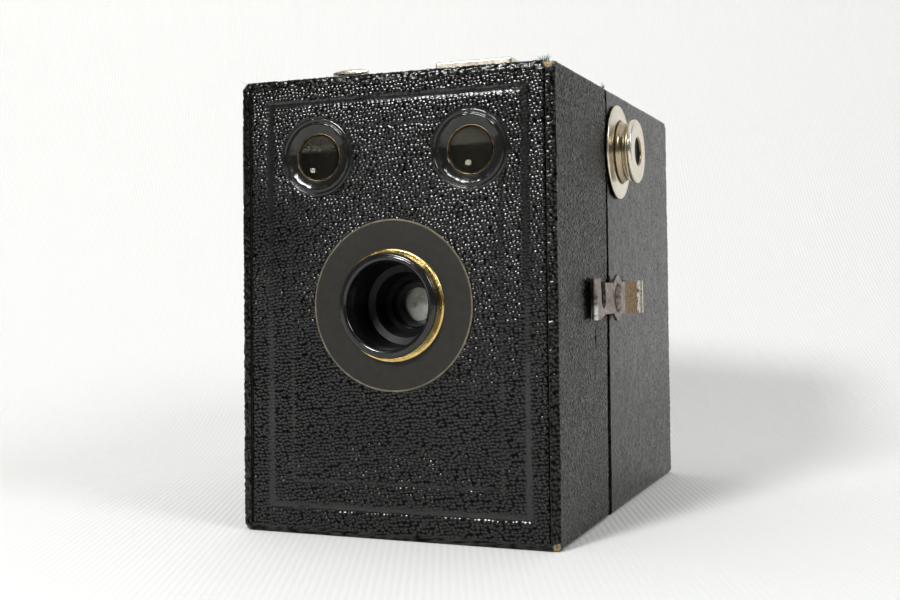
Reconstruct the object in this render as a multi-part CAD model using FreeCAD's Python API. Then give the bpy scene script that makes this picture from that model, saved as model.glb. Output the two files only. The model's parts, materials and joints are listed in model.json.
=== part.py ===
"""Box camera for roll film, 6 x 9 cm pictures, as an assembly of separate pieces.

Frame, in millimetres: origin at the centre of the body's base, +Z up, the lens looks along -Y and
+X is the side with the winding key. The camera has two halves. The rear half is a covered board box,
open at the front, with the winding key, the latch hook, the red window and the carrying strap. The
front half holds the lens, the shutter, two reflecting finders and, behind a bulkhead, the light cone
with the film carrier. It draws out of the rear half along -Y.
"""
import FreeCAD
import Part
import math
import os

V = FreeCAD.Vector

# ---- driving dimensions ---------------------------------------------------------------------
BODY_W = 78.0
BODY_H = 106.5
BODY_D = 118.0
COVER_T = 0.5          # leatherette
BOARD_T = 3.0          # jute board walls
EDGE_R = 0.9           # outer corners of the covered box
FRONT_DEPTH_TOP = 43.3      # of the front half, measured from the face
FRONT_DEPTH_BOTTOM = 41.0   # it has warped, so the seam widens downwards
MOUTH_Y = -14.5             # front edge of the rear half

PANEL_X = 0.0          # middle of the face sheet and all it carries
PANEL_HALF_W = 36.9
GROOVE_X = 0.3         # the sunk frames are pressed a little off centre
PANEL_Z0 = 0.9
PANEL_Z1 = 105.8
LENS_Z = 53.25
FINDER_Z = 88.0
FINDER_SPREAD = 19.05  # of each finder lens from the panel's centre line

KEY_Y = -4.6
KEY_Z = 91.4
SPOOL_R = 11.3
PIVOT_Y = -11.6        # latch hook pivot
PIVOT_Z = 54.0
STUD_Y = -25.8         # latch stud on the front half

GATE_W = 57.0
GATE_H = 83.0
GATE_Y = 52.0

# ---- derived dimensions ---------------------------------------------------------------------
HALF_W = BODY_W / 2
FRONT_Y = -BODY_D / 2
BACK_Y = BODY_D / 2
SEAM_Y = FRONT_Y + FRONT_DEPTH_BOTTOM
BOARD_X = HALF_W - COVER_T
BOARD_Z0 = COVER_T
BOARD_Z1 = BODY_H - COVER_T
CAVITY_X = BOARD_X - BOARD_T
CAVITY_Z0 = BOARD_Z0 + BOARD_T
CAVITY_Z1 = BOARD_Z1 - BOARD_T
FACE_Y = FRONT_Y + COVER_T          # front of the board, under the face sheet
PANEL_BACK_Y = FACE_Y + BOARD_T
MID_Z = BODY_H / 2
SUPPLY_Z = BODY_H - KEY_Z
UPRIGHT_X = PANEL_X + FINDER_SPREAD
SIDEWAYS_X = PANEL_X - FINDER_SPREAD
OVER = 5.0                          # how far a shape that is taken away runs past its work


# ---- helpers --------------------------------------------------------------------------------
def block(x0, x1, y0, y1, z0, z1):
    return Part.makeBox(x1 - x0, y1 - y0, z1 - z0, V(x0, y0, z0))


def rod(axis, start, radius, length):
    return Part.makeCylinder(radius, length, V(*start), V(*axis))


def rod_x(x0, x1, y, z, radius):
    return rod((1, 0, 0), (x0, y, z), radius, x1 - x0)


def rod_y(x, y0, y1, z, radius):
    return rod((0, 1, 0), (x, y0, z), radius, y1 - y0)


def rod_z(x, y, z0, z1, radius):
    return rod((0, 0, 1), (x, y, z0), radius, z1 - z0)


def ring_y(x, y0, y1, z, inner, outer):
    return rod_y(x, y0, y1, z, outer).cut(rod_y(x, y0 - 1, y1 + 1, z, inner))


def turned(profile, x, y, z, axis):
    """Solid of revolution. The profile is closed and holds (distance along axis, radius) points.

    A pair of points stands for an arc: its middle, then its end.
    """
    def place(point):
        return V(point[1], 0, point[0])

    edges = []
    here = profile[0]
    for item in profile[1:] + [profile[0]]:
        if isinstance(item[0], tuple):
            middle, end = item
            edges.append(Part.Arc(place(here), place(middle), place(end)).toShape())
        else:
            end = item
            if end != here:
                edges.append(Part.LineSegment(place(here), place(end)).toShape())
        here = end
    face = Part.Face(Part.Wire(edges))
    solid = face.revolve(V(0, 0, 0), V(0, 0, 1), 360)
    solid.Placement = FreeCAD.Placement(V(x, y, z), FreeCAD.Rotation(V(0, 0, 1), V(*axis)))
    return solid


def dome_end(rim, radius, height):
    """Spherical end for a profile, from (rim, radius) to the axis: its (middle, end) arc."""
    ball = (radius ** 2 + height ** 2) / (2 * abs(height))
    angle = math.asin(radius / ball) / 2
    rise = abs(height) - ball * (1 - math.cos(angle))
    return ((rim + math.copysign(rise, height), ball * math.sin(angle)), (rim + height, 0))


def plate(points, thickness, axis):
    """Extrudes the closed outline by thickness along axis. The points are full positions."""
    wire = Part.makePolygon([V(*p) for p in points] + [V(*points[0])])
    return Part.Face(wire).extrude(V(*axis) * thickness)


def rounded(solid, radius, wanted):
    """Fillets the edges whose middle point the test accepts."""
    edges = [e for e in solid.Edges if wanted(e.CenterOfMass)]
    return solid.makeFillet(radius, edges)


def box_half(inset, y0, y1, radius, capped_y):
    """The body's rectangular section, inset, rounded along its length and at its capped end."""
    x = HALF_W - inset
    solid = block(-x, x, y0, y1, inset, BODY_H - inset)

    def wanted(p):
        at_side = abs(abs(p.x) - x) < 0.01
        at_top_or_base = min(abs(p.z - inset), abs(p.z - BODY_H + inset)) < 0.01
        along = y0 + 0.01 < p.y < y1 - 0.01
        return along or (abs(p.y - capped_y) < 0.01 and (at_side or at_top_or_base))

    return rounded(solid, radius, wanted)


def seam_cutter():
    """Everything behind the front half's slanted rear edge."""
    slope = (FRONT_DEPTH_TOP - FRONT_DEPTH_BOTTOM) / BODY_H
    low_y = SEAM_Y - slope * OVER
    high_y = SEAM_Y + slope * (BODY_H + OVER)
    far_y = MOUTH_Y + OVER
    x = -HALF_W - OVER
    return plate([(x, far_y, -OVER), (x, low_y, -OVER), (x, high_y, BODY_H + OVER), (x, far_y, BODY_H + OVER)],
                 2 * (HALF_W + OVER), (1, 0, 0))


PARTS = {}


def keep(name, *solids):
    shape = solids[0] if len(solids) == 1 else Part.makeCompound(list(solids))
    PARTS[name] = shape


# ---- rear half ------------------------------------------------------------------------------
KEY_HOLE_R = 4.6
CLINCH_R = 7.0
RIVET_R = 1.5
RED_X = 17.0
RED_Z = 33.0
RED_HOLE_R = 6.5
BACK_SHEET_X = HALF_W - 3.0
STRAP_Y = 24.0
STRAP_ANCHOR = 29.0    # from the strap's middle to each rivet


def rear_half():
    core = box_half(COVER_T, MOUTH_Y, BACK_Y - COVER_T, EDGE_R - COVER_T, BACK_Y - COVER_T)
    skin = box_half(0, MOUTH_Y, BACK_Y, EDGE_R, BACK_Y)
    hollow = block(-CAVITY_X, CAVITY_X, MOUTH_Y - 1, BACK_Y - COVER_T - BOARD_T, CAVITY_Z0, CAVITY_Z1)
    key_hole = rod_x(CAVITY_X - 1, HALF_W + 1, KEY_Y, KEY_Z, KEY_HOLE_R)
    clinch_seat = rod_x(CAVITY_X - 1, CAVITY_X + 0.7, KEY_Y, KEY_Z, CLINCH_R + 0.2)
    rivet_hole = rod_x(CAVITY_X - 1, HALF_W + 1, PIVOT_Y, PIVOT_Z, RIVET_R)
    rivet_seat = rod_x(CAVITY_X - 1, CAVITY_X + 0.6, PIVOT_Y, PIVOT_Z, 2.6)
    red_hole = rod_y(RED_X, BACK_Y - 6, BACK_Y + 1, RED_Z, RED_HOLE_R)
    strap_holes = [rod_z(0, STRAP_Y + s * STRAP_ANCHOR, CAVITY_Z1 - 1, BODY_H + 1, 1.2) for s in (-1, 1)]
    shell = core.cut(hollow)
    for hole in [key_hole, clinch_seat, rivet_hole, rivet_seat, red_hole] + strap_holes:
        shell = shell.cut(hole)
    keep("rear_shell", shell)

    sheet_place = block(-BACK_SHEET_X, BACK_SHEET_X, BACK_Y - 1, BACK_Y + 1, 3.0, BODY_H - 3.0)
    wrap = skin.cut(core).cut(sheet_place)
    for hole in [key_hole, rivet_hole] + strap_holes:
        wrap = wrap.cut(hole)
    keep("rear_wrap", wrap)

    gap = 0.1
    sheet = block(-BACK_SHEET_X + gap, BACK_SHEET_X - gap, BACK_Y - COVER_T, BACK_Y, 3.0 + gap, BODY_H - 3.0 - gap)
    keep("back_covering", sheet.cut(red_hole))


def red_window():
    back = BACK_Y - COVER_T - BOARD_T
    eyelet = [(back, 5.9), (BACK_Y + 0.2, 5.9), ((BACK_Y + 0.55, 6.3), (BACK_Y + 0.6, 7.0)),
              ((BACK_Y + 0.5, 8.2), (BACK_Y, 8.6)), (BACK_Y, RED_HOLE_R), (back, RED_HOLE_R)]
    keep("red_window_ring", turned(eyelet, RED_X, 0, RED_Z, (0, 1, 0)))
    keep("red_window", rod_y(RED_X, BACK_Y - 2.0, BACK_Y - 1.4, RED_Z, 5.85))


def strap():
    """A leather strip riveted down at both ends, standing up in a low arch between them."""
    width = 9.0
    thick = 1.6
    arch_reach = 25.0
    arch_rise = 6.5
    end_reach = STRAP_ANCHOR + 4.5
    radius = (arch_reach ** 2 + arch_rise ** 2) / (4 * arch_rise)
    half_angle = math.asin(arch_reach / 2 / radius)
    base = BODY_H + thick / 2

    def side(offset):
        """Edge of the strip at the given distance above its middle line, front to back."""
        foot_r = radius - offset
        crown_r = radius + offset
        foot_z = base + radius
        crown_z = base + arch_rise - radius

        def foot(s, a):
            return V(-width / 2, STRAP_Y + s * (arch_reach - foot_r * math.sin(a)), foot_z - foot_r * math.cos(a))

        def crown(a):
            return V(-width / 2, STRAP_Y + crown_r * math.sin(a), crown_z + crown_r * math.cos(a))

        ends = [V(-width / 2, STRAP_Y + s * end_reach, base + offset) for s in (-1, 1)]
        half = half_angle / 2
        return [Part.LineSegment(ends[0], foot(-1, 0)).toShape(),
                Part.Arc(foot(-1, 0), foot(-1, half), foot(-1, half_angle)).toShape(),
                Part.Arc(crown(-half_angle), crown(0), crown(half_angle)).toShape(),
                Part.Arc(foot(1, half_angle), foot(1, half), foot(1, 0)).toShape(),
                Part.LineSegment(foot(1, 0), ends[1]).toShape()]

    upper = side(thick / 2)
    lower = side(-thick / 2)
    ends = [Part.LineSegment(V(-width / 2, STRAP_Y + s * end_reach, BODY_H),
                             V(-width / 2, STRAP_Y + s * end_reach, BODY_H + thick)).toShape() for s in (-1, 1)]
    wire = Part.Wire(Part.__sortEdges__(upper + lower + ends))
    strip = Part.Face(wire).extrude(V(width, 0, 0))
    holes = [rod_z(0, STRAP_Y + s * STRAP_ANCHOR, BODY_H - 1, BODY_H + thick + 1, 1.2) for s in (-1, 1)]
    keep("strap", strip.cut(holes[0]).cut(holes[1]))

    caps = []
    rivets = []
    cap_z = BODY_H + thick
    for s in (-1, 1):
        y = STRAP_Y + s * STRAP_ANCHOR
        cap = block(-width / 2 - 1.0, width / 2 + 1.0, y - 4.0, y + 4.0, BODY_H, cap_z + 0.6)
        cap = rounded(cap, 0.5, lambda p: p.z > cap_z + 0.5)
        cap = cap.cut(block(-width / 2 - 0.1, width / 2 + 0.1, y - 6, y + 6, BODY_H - 1, cap_z))
        caps.append(cap.cut(rod_z(0, y, BODY_H, cap_z + 2, 1.2)))
        head_z = cap_z + 0.6
        rivet = [(CAVITY_Z1 + 0.2, 0), (CAVITY_Z1 + 0.2, 1.2), (head_z, 1.2), (head_z, 2.3),
                 dome_end(head_z, 2.3, 1.0)]
        rivets.append(turned(rivet, 0, y, 0, (0, 0, 1)))
    keep("strap_end_plates", *caps)
    keep("strap_rivets", *rivets)


# ---- winding key ----------------------------------------------------------------------------
SHAFT_R = 2.2
KNOB_X0 = HALF_W + 1.8
KNOB_X1 = HALF_W + 5.9
KNOB_R = 8.15
FLANGE_R = 12.05
FLANGE_T = 1.4
BLADE_TIP_X = 31.9
BLADE_ROOT_X = 33.4


def winding_key():
    flange_x = HALF_W + 0.05
    clinch_x = CAVITY_X + 0.1
    face_x = flange_x + FLANGE_T
    flange = [(clinch_x, 3.3), (37.0, 3.3), (37.0, SHAFT_R + 0.05), (face_x, SHAFT_R + 0.05), (face_x, 8.6),
              (face_x - 0.15, 8.9), (face_x - 0.4, 11.5), ((face_x - 0.6, FLANGE_R), (face_x - 0.9, FLANGE_R - 0.1)),
              (flange_x, 10.9), (flange_x, 4.5), (clinch_x + 0.6, 4.5), (clinch_x + 0.6, CLINCH_R),
              (clinch_x, CLINCH_R)]
    keep("key_flange", turned(flange, 0, KEY_Y, KEY_Z, (1, 0, 0)))
    washer = rod_x(face_x + 0.05, KNOB_X0 - 0.05, KEY_Y, KEY_Z, 6.4)
    keep("key_washer", washer.cut(rod_x(HALF_W, KNOB_X0 + 1, KEY_Y, KEY_Z, SHAFT_R + 0.05)))

    x0 = KNOB_X0
    x1 = KNOB_X1
    knob = [(x0, SHAFT_R), (x0, 7.7), ((x0 + 0.25, 7.95), (x0 + 0.5, 7.75)), ((x0 + 1.3, 7.2), (x0 + 2.0, 7.35)),
            ((x0 + 2.4, 7.75), (x0 + 2.7, KNOB_R - 0.05)), ((x0 + 3.2, KNOB_R + 0.05), (x1 - 0.5, KNOB_R)),
            ((x1 - 0.12, KNOB_R - 0.15), (x1, KNOB_R - 0.55)),
            (x1, 4.0), ((x1 - 0.1, 3.6), (x1 - 0.45, 3.45)), (x1 - 0.9, 3.45), (x1 - 0.9, 6.6),
            (x0 + 0.8, 6.6), (x0 + 0.8, SHAFT_R)]
    keep("winding_knob", turned(knob, 0, KEY_Y, KEY_Z, (1, 0, 0)))
    shaft = rod_x(BLADE_ROOT_X, x0 + 0.8, KEY_Y, KEY_Z, SHAFT_R)
    blade = block(BLADE_TIP_X, BLADE_ROOT_X, KEY_Y - 2.1, KEY_Y + 2.1, KEY_Z - 0.5, KEY_Z + 0.5)
    head = rod_x(x0 + 0.8, x0 + 1.4, KEY_Y, KEY_Z, 3.0)
    keep("key_shaft", shaft.fuse(blade).fuse(head))


# ---- latch ----------------------------------------------------------------------------------
HOOK_X = HALF_W + 1.0
HOOK_T = 0.8
BEND_R = 1.5


def latch():
    washer = rod_x(HALF_W, HOOK_X - 0.05, PIVOT_Y, PIVOT_Z, 2.9)
    keep("latch_washer", washer.cut(rod_x(HALF_W - 1, HOOK_X + 1, PIVOT_Y, PIVOT_Z, RIVET_R)))
    head_x = HOOK_X + HOOK_T + 0.05
    rivet = [(CAVITY_X, 0), (CAVITY_X, 2.5), (CAVITY_X + 0.6, 2.5), (CAVITY_X + 0.6, RIVET_R), (head_x, RIVET_R),
             (head_x, 2.9), dome_end(head_x, 2.9, 1.0)]
    keep("latch_rivet", turned(rivet, 0, PIVOT_Y, PIVOT_Z, (1, 0, 0)))

    tip = -23.1
    stud = STUD_Y - PIVOT_Y
    tail = 21.4
    upper = [(tip, 4.9), (stud - 2.9, 4.9), (stud - 2.0, 0.6), (stud + 1.9, 0.6), (stud + 1.5, 3.8), (-4.4, 3.8),
             (-0.6, 5.7), (0.6, 5.7), (4.4, 3.8), (6.5, 4.2), (tail, 4.3)]
    lower = [(tail, -4.3), (6.5, -4.2), (4.4, -3.8), (0.6, -5.7), (-0.6, -5.7), (-4.4, -3.8), (stud + 1.5, -3.8),
             (stud - 2.9, -4.9), (tip, -4.9)]
    hook = plate([(HOOK_X, PIVOT_Y + y, PIVOT_Z + z) for y, z in upper + lower], HOOK_T, (1, 0, 0))
    hook = hook.cut(rod_x(HOOK_X - 1, HOOK_X + 2, STUD_Y, PIVOT_Z, 2.2))
    hook = hook.cut(rod_x(HOOK_X - 1, HOOK_X + 2, PIVOT_Y, PIVOT_Z, RIVET_R + 0.08))
    curl = rod_z(HOOK_X + HOOK_T, PIVOT_Y + tip + 0.2, PIVOT_Z - 4.9, PIVOT_Z + 4.9, 0.75)
    curl = curl.cut(rod_z(HOOK_X + HOOK_T, PIVOT_Y + tip + 0.2, PIVOT_Z - 6, PIVOT_Z + 6, 0.3))
    curl = curl.common(block(HOOK_X, HOOK_X + 5, PIVOT_Y + tip - 2, PIVOT_Y + tip + 2, 0, BODY_H))
    bend_x = HOOK_X + BEND_R
    bend_y = PIVOT_Y + tail
    bend = rod_z(bend_x, bend_y, PIVOT_Z - 4.3, PIVOT_Z + 4.3, BEND_R)
    bend = bend.cut(rod_z(bend_x, bend_y, PIVOT_Z - 5, PIVOT_Z + 5, BEND_R - HOOK_T))
    bend = bend.common(block(HOOK_X, bend_x, bend_y, bend_y + 3, 0, BODY_H))
    lip_y = bend_y + BEND_R - HOOK_T
    lip = block(bend_x, bend_x + 0.5, lip_y, lip_y + HOOK_T, PIVOT_Z - 4.3, PIVOT_Z + 4.3)
    keep("latch_hook", hook.fuse(curl).fuse(bend).fuse(lip))

    dome = [(HALF_W, 0), (HALF_W, 1.75), dome_end(HALF_W, 1.75, 0.6)]
    shank = rod_x(CAVITY_X, HALF_W, STUD_Y, PIVOT_Z, 1.0)
    keep("latch_stud", turned(dome, 0, STUD_Y, PIVOT_Z, (1, 0, 0)).fuse(shank))


# ---- front half: box, coverings and face ------------------------------------------------------
DISH_R = 8.3
DISH_HOLE_R = 5.6
LENS_HOLE_R = 6.65
TUBE_R = 10.9
PLATE_R = 19.65
SCREEN_Y0 = -54.8
SCREEN_Y1 = -36.6
FRAME_Y0 = -56.0
FRAME_Y1 = -33.5
FRAME_HALF = 9.2
SCREEN_HALF = 6.6
SLIDE_X = -10.2
SLIDE_Y = -50.7
LEVER_Y = -44.8
LEVER_PIVOT = (-22.0, 31.0)


def front_half():
    behind = seam_cutter()
    core = box_half(COVER_T, FACE_Y, MOUTH_Y, EDGE_R - COVER_T, FACE_Y)
    skin = box_half(0, FRONT_Y, MOUTH_Y, EDGE_R, FRONT_Y)
    hollow = block(-CAVITY_X, CAVITY_X, PANEL_BACK_Y, MOUTH_Y + 1, CAVITY_Z0, CAVITY_Z1)
    top_port = block(UPRIGHT_X - SCREEN_HALF - 0.4, UPRIGHT_X + SCREEN_HALF + 0.4, SCREEN_Y0 - 0.4, SCREEN_Y1 + 0.4,
                     CAVITY_Z1 - 1, BODY_H + 1)
    side_port = block(-HALF_W - 1, -CAVITY_X + 1, SCREEN_Y0 - 0.4, SCREEN_Y1 + 0.4,
                      FINDER_Z - SCREEN_HALF - 0.4, FINDER_Z + SCREEN_HALF + 0.4)
    slide_slot = block(SLIDE_X - 1.7, SLIDE_X + 1.7, SLIDE_Y - 0.5, SLIDE_Y + 0.5, CAVITY_Z1 - 1, BODY_H + 1)
    lever_slot = block(-HALF_W - 1, -CAVITY_X + 1, LEVER_Y - 0.9, LEVER_Y + 0.9, 21.5, 34.0)
    stud_hole = rod_x(CAVITY_X - 1, HALF_W + 1, STUD_Y, PIVOT_Z, 1.0)
    side_holes = [top_port, side_port, slide_slot, lever_slot, stud_hole]

    box = core.cut(hollow).cut(behind)
    for hole in side_holes:
        box = box.cut(hole)
    box = box.cut(rod_y(PANEL_X, FACE_Y - 1, PANEL_BACK_Y + 1, LENS_Z, TUBE_R))
    for x in (UPRIGHT_X, SIDEWAYS_X):
        box = box.cut(rod_y(x, FACE_Y - 1, PANEL_BACK_Y + 1, FINDER_Z, LENS_HOLE_R))
        dish = [(FACE_Y - 1, 0), (FACE_Y - 1, DISH_R + 0.25), (FACE_Y, DISH_R + 0.25),
                (FACE_Y + 0.95, LENS_HOLE_R), (FACE_Y + 0.95, 0)]
        box = box.cut(turned(dish, x, 0, FINDER_Z, (0, 1, 0)))
    keep("front_box", box)

    place = block(PANEL_X - PANEL_HALF_W, PANEL_X + PANEL_HALF_W, FRONT_Y - 1, FACE_Y, PANEL_Z0, PANEL_Z1)
    wrap = skin.cut(core).cut(place).cut(behind)
    for hole in side_holes:
        wrap = wrap.cut(hole)
    keep("front_wrap", wrap)
    keep("front_covering", face_sheet())


def groove_frame(half_w, z0, z1, width, depth):
    """A rectangular groove in the face, given by its middle line."""
    h = width / 2
    outer = block(GROOVE_X - half_w - h, GROOVE_X + half_w + h, FRONT_Y - 1, FRONT_Y + depth, z0 - h, z1 + h)
    inner = block(GROOVE_X - half_w + h, GROOVE_X + half_w - h, FRONT_Y - 2, FRONT_Y + depth + 1, z0 + h, z1 - h)
    return outer.cut(inner)


def face_sheet():
    """Embossed leatherette: two sunk frames, and a dished ring round each finder lens."""
    gap = 0.1
    sheet = block(PANEL_X - PANEL_HALF_W + gap, PANEL_X + PANEL_HALF_W - gap, FRONT_Y, FACE_Y,
                  PANEL_Z0 + gap, PANEL_Z1 - gap)
    sheet = sheet.cut(groove_frame(31.8, 6.6, 100.8, 1.5, 0.22))
    sheet = sheet.cut(groove_frame(26.0, 12.45, 94.5, 0.6, 0.18))
    sheet = sheet.cut(rod_y(PANEL_X, FRONT_Y - 1, FACE_Y + 1, LENS_Z, TUBE_R))
    for x in (UPRIGHT_X, SIDEWAYS_X):
        sheet = sheet.cut(rod_y(x, FRONT_Y - 1, FACE_Y + 1, FINDER_Z, DISH_R))
        dish = [(FRONT_Y, DISH_R), (FRONT_Y + 0.9, DISH_HOLE_R), (FRONT_Y + 1.35, DISH_HOLE_R),
                (FACE_Y, DISH_R + 0.15)]
        sheet = sheet.fuse(turned(dish, x, 0, FINDER_Z, (0, 1, 0)))
    return sheet


def lens_group():
    """Face plate, brass collar, enamelled bezel and, at the end of its tube, the lens in its cell."""
    keep("lens_plate", ring_y(PANEL_X, FRONT_Y - 0.35, FRONT_Y, LENS_Z, 12.9, PLATE_R))
    collar = [(FRONT_Y, TUBE_R), (FRONT_Y, 12.9), (FRONT_Y - 0.5, 12.9), ((FRONT_Y - 0.7, 12.7), (FRONT_Y - 0.75, 12.4)),
              (FRONT_Y - 0.75, TUBE_R)]
    keep("brass_collar", turned(collar, PANEL_X, 0, LENS_Z, (0, 1, 0)))
    seat = FRONT_Y - 0.75
    bezel = [(seat, 12.0), (seat - 2.2, 12.0), ((seat - 2.6, 11.7), (seat - 2.75, 11.1)),
             ((seat - 2.7, 10.4), (seat - 2.2, 10.05)), (seat + 7.6, 9.3), (seat + 8.0, 7.7), (seat + 8.6, 7.7),
             (seat + 8.6, TUBE_R), (seat, TUBE_R)]
    keep("lens_bezel", turned(bezel, PANEL_X, 0, LENS_Z, (0, 1, 0)))

    cell_y = seat + 8.6
    lip = cell_y + 4.2
    cell = [(cell_y, 9.0), (cell_y, 7.8), (lip, 7.0), (lip, 5.8), (lip + 0.6, 5.8), (lip + 0.6, 6.6),
            (cell_y + 7.5, 6.6), (cell_y + 7.5, 9.0)]
    keep("lens_cell", turned(cell, PANEL_X, 0, LENS_Z, (0, 1, 0)))
    edge = lip + 0.8
    lens = [(edge, 6.5), dome_end(edge, 6.5, -0.65), (edge + 1.2, 0)]
    lens += [(dome_end(edge + 1.9, 6.5, -0.7)[0], (edge + 1.9, 6.5))]
    keep("lens", turned(lens, PANEL_X, 0, LENS_Z, (0, 1, 0)))
    keep("lens_retaining_ring", ring_y(PANEL_X, edge + 1.9, edge + 2.4, LENS_Z, 5.2, 6.6))
    keep("diaphragm", ring_y(PANEL_X, cell_y + 7.5, cell_y + 7.9, LENS_Z, 3.9, 9.0))


# ---- shutter --------------------------------------------------------------------------------
SHUTTER_Y = -43.25     # front face of the shutter plate, against the diaphragm
SHUTTER_T = 0.8
DISC_Z = LENS_Z - 12.5
DISC_R = 17.5
DISC_Y = SHUTTER_Y + SHUTTER_T + 0.3


def shutter():
    back = SHUTTER_Y + SHUTTER_T
    base = block(-33, 33, SHUTTER_Y, back, 14, 77)
    base = base.cut(rod_y(PANEL_X, SHUTTER_Y - 1, back + 1, LENS_Z, 5.0))
    base = base.cut(rod_y(PANEL_X, SHUTTER_Y - 1, back + 1, DISC_Z, 1.5))
    px, pz = LEVER_PIVOT
    base = base.cut(rod_y(px, SHUTTER_Y - 1, back + 1, pz, 1.5))
    posts = [rod_y(x, PANEL_BACK_Y, SHUTTER_Y, z, 2.0) for x in (-29, 29) for z in (18, 72)]
    keep("shutter_plate", base)
    keep("shutter_posts", *posts)

    pin = rod_y(PANEL_X, SHUTTER_Y, DISC_Y + 0.5, DISC_Z, 1.5)
    keep("shutter_pivot", pin.fuse(rod_y(PANEL_X, DISC_Y + 0.5, DISC_Y + 1.0, DISC_Z, 3.0)))
    disc = rod_y(PANEL_X, DISC_Y, DISC_Y + 0.4, DISC_Z, DISC_R).cut(rod_y(PANEL_X, DISC_Y - 1, DISC_Y + 1, DISC_Z, 1.56))
    mouth = 12.5
    port = None
    for degrees in range(-78, -41, 9):
        a = math.radians(degrees)
        hole = rod_y(PANEL_X + mouth * math.sin(a), DISC_Y - 1, DISC_Y + 1, DISC_Z + mouth * math.cos(a), 4.4)
        port = hole if port is None else port.fuse(hole)
    keep("shutter_disc", disc.cut(port))

    pivot = rod_y(px, LEVER_Y - 1.1, SHUTTER_Y + SHUTTER_T, pz, 1.5)
    keep("lever_pivot", pivot.fuse(rod_y(px, LEVER_Y - 1.6, LEVER_Y - 1.1, pz, 2.6)))
    y0 = LEVER_Y - 0.4
    arm = plate([(-42.5, y0, pz - 1.8), (px, y0, pz - 3.2), (px + 12, y0, pz - 0.5), (px + 12, y0, pz + 2.5),
                 (px, y0, pz + 3.2), (-42.5, y0, pz + 1.8)], 0.8, (0, 1, 0))
    pad = block(-43.4, -40.6, LEVER_Y - 3.6, LEVER_Y + 3.6, pz - 1.8, pz + 1.8)
    pad = rounded(pad, 1.2, lambda p: abs(p.x + 43.4) < 0.01 and (abs(p.z - pz) > 1.7 or abs(p.y - LEVER_Y) > 3.5))
    lever = arm.fuse(pad).cut(rod_y(px, LEVER_Y - 2, LEVER_Y + 2, pz, 1.56))
    keep("shutter_lever", lever)

    wire_r = 0.3
    spring_y = LEVER_Y + 0.9
    leg_low = rod((1, 0, 0), (px, spring_y, pz - 2.4), wire_r, 9.0)
    leg_high = rod((1, 0, 0), (px, spring_y, pz + 2.4), wire_r, 9.0)
    bend = Part.makeTorus(2.4, wire_r, V(px, spring_y, pz), V(0, 1, 0))
    bend = bend.cut(block(px, px + 6, spring_y - 2, spring_y + 2, pz - 6, pz + 6))
    keep("shutter_spring", bend.fuse(leg_low).fuse(leg_high))


def time_slide():
    """Pull-up strip for time exposures: its tab stands on the top, left of the middle."""
    strip = block(SLIDE_X - 1.5, SLIDE_X + 1.5, SLIDE_Y - 0.3, SLIDE_Y + 0.3, 66.0, BODY_H + 0.5)
    foot = block(SLIDE_X - 1.5, SLIDE_X + 1.5, SLIDE_Y - 0.3, SHUTTER_Y - 0.6, 66.0, 66.8)
    tab_x0 = -18.65
    tab_x1 = -9.4
    tab = block(tab_x0, tab_x1, SLIDE_Y - 0.3, SLIDE_Y + 0.3, BODY_H + 0.3, BODY_H + 2.0)
    roll = [(tab_x0, 0), (tab_x0, 0.3), (((tab_x0 + tab_x1) / 2, 0.85), (tab_x1, 0.3)), (tab_x1, 0)]
    keep("time_slide", strip.fuse(foot).fuse(tab).fuse(turned(roll, 0, SLIDE_Y, BODY_H + 2.25, (1, 0, 0))))
    guide = block(SLIDE_X - 3.5, SLIDE_X + 3.5, PANEL_BACK_Y, SLIDE_Y + 1.2, 73.0, 77.0)
    guide = guide.cut(block(SLIDE_X - 1.65, SLIDE_X + 1.65, SLIDE_Y - 0.45, SLIDE_Y + 0.45, 72.0, 78.0))
    keep("time_slide_guide", guide)


# ---- finders --------------------------------------------------------------------------------
HOUSING_T = 0.4
HOUSING_HALF = 7.2
HOUSING_Y1 = -36.2
MIRROR_T = 1.0


def finder_lens(x):
    front = FACE_Y + 0.9
    profile = [(front + 1.6, 0), (front + 1.6, 6.4), (front + 1.05, 6.4), dome_end(front + 1.05, 6.4, -1.05)]
    return turned(profile, x, 0, FINDER_Z, (0, 1, 0))


def screen_frame(u0, u1, v0, v1, height):
    """Plated bezel round a finder screen, lying in XY with its base at z = 0."""
    frame = block(u0, u1, v0, v1, 0, height)
    frame = rounded(frame, 0.5, lambda p: p.z > height - 0.01 or 0.01 < p.z < height - 0.01)
    opening = block(u0 + 2.9, u1 - 2.9, v0 + 2.6, v1 - 3.6, -1, height + 1)
    return frame.cut(opening)


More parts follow.
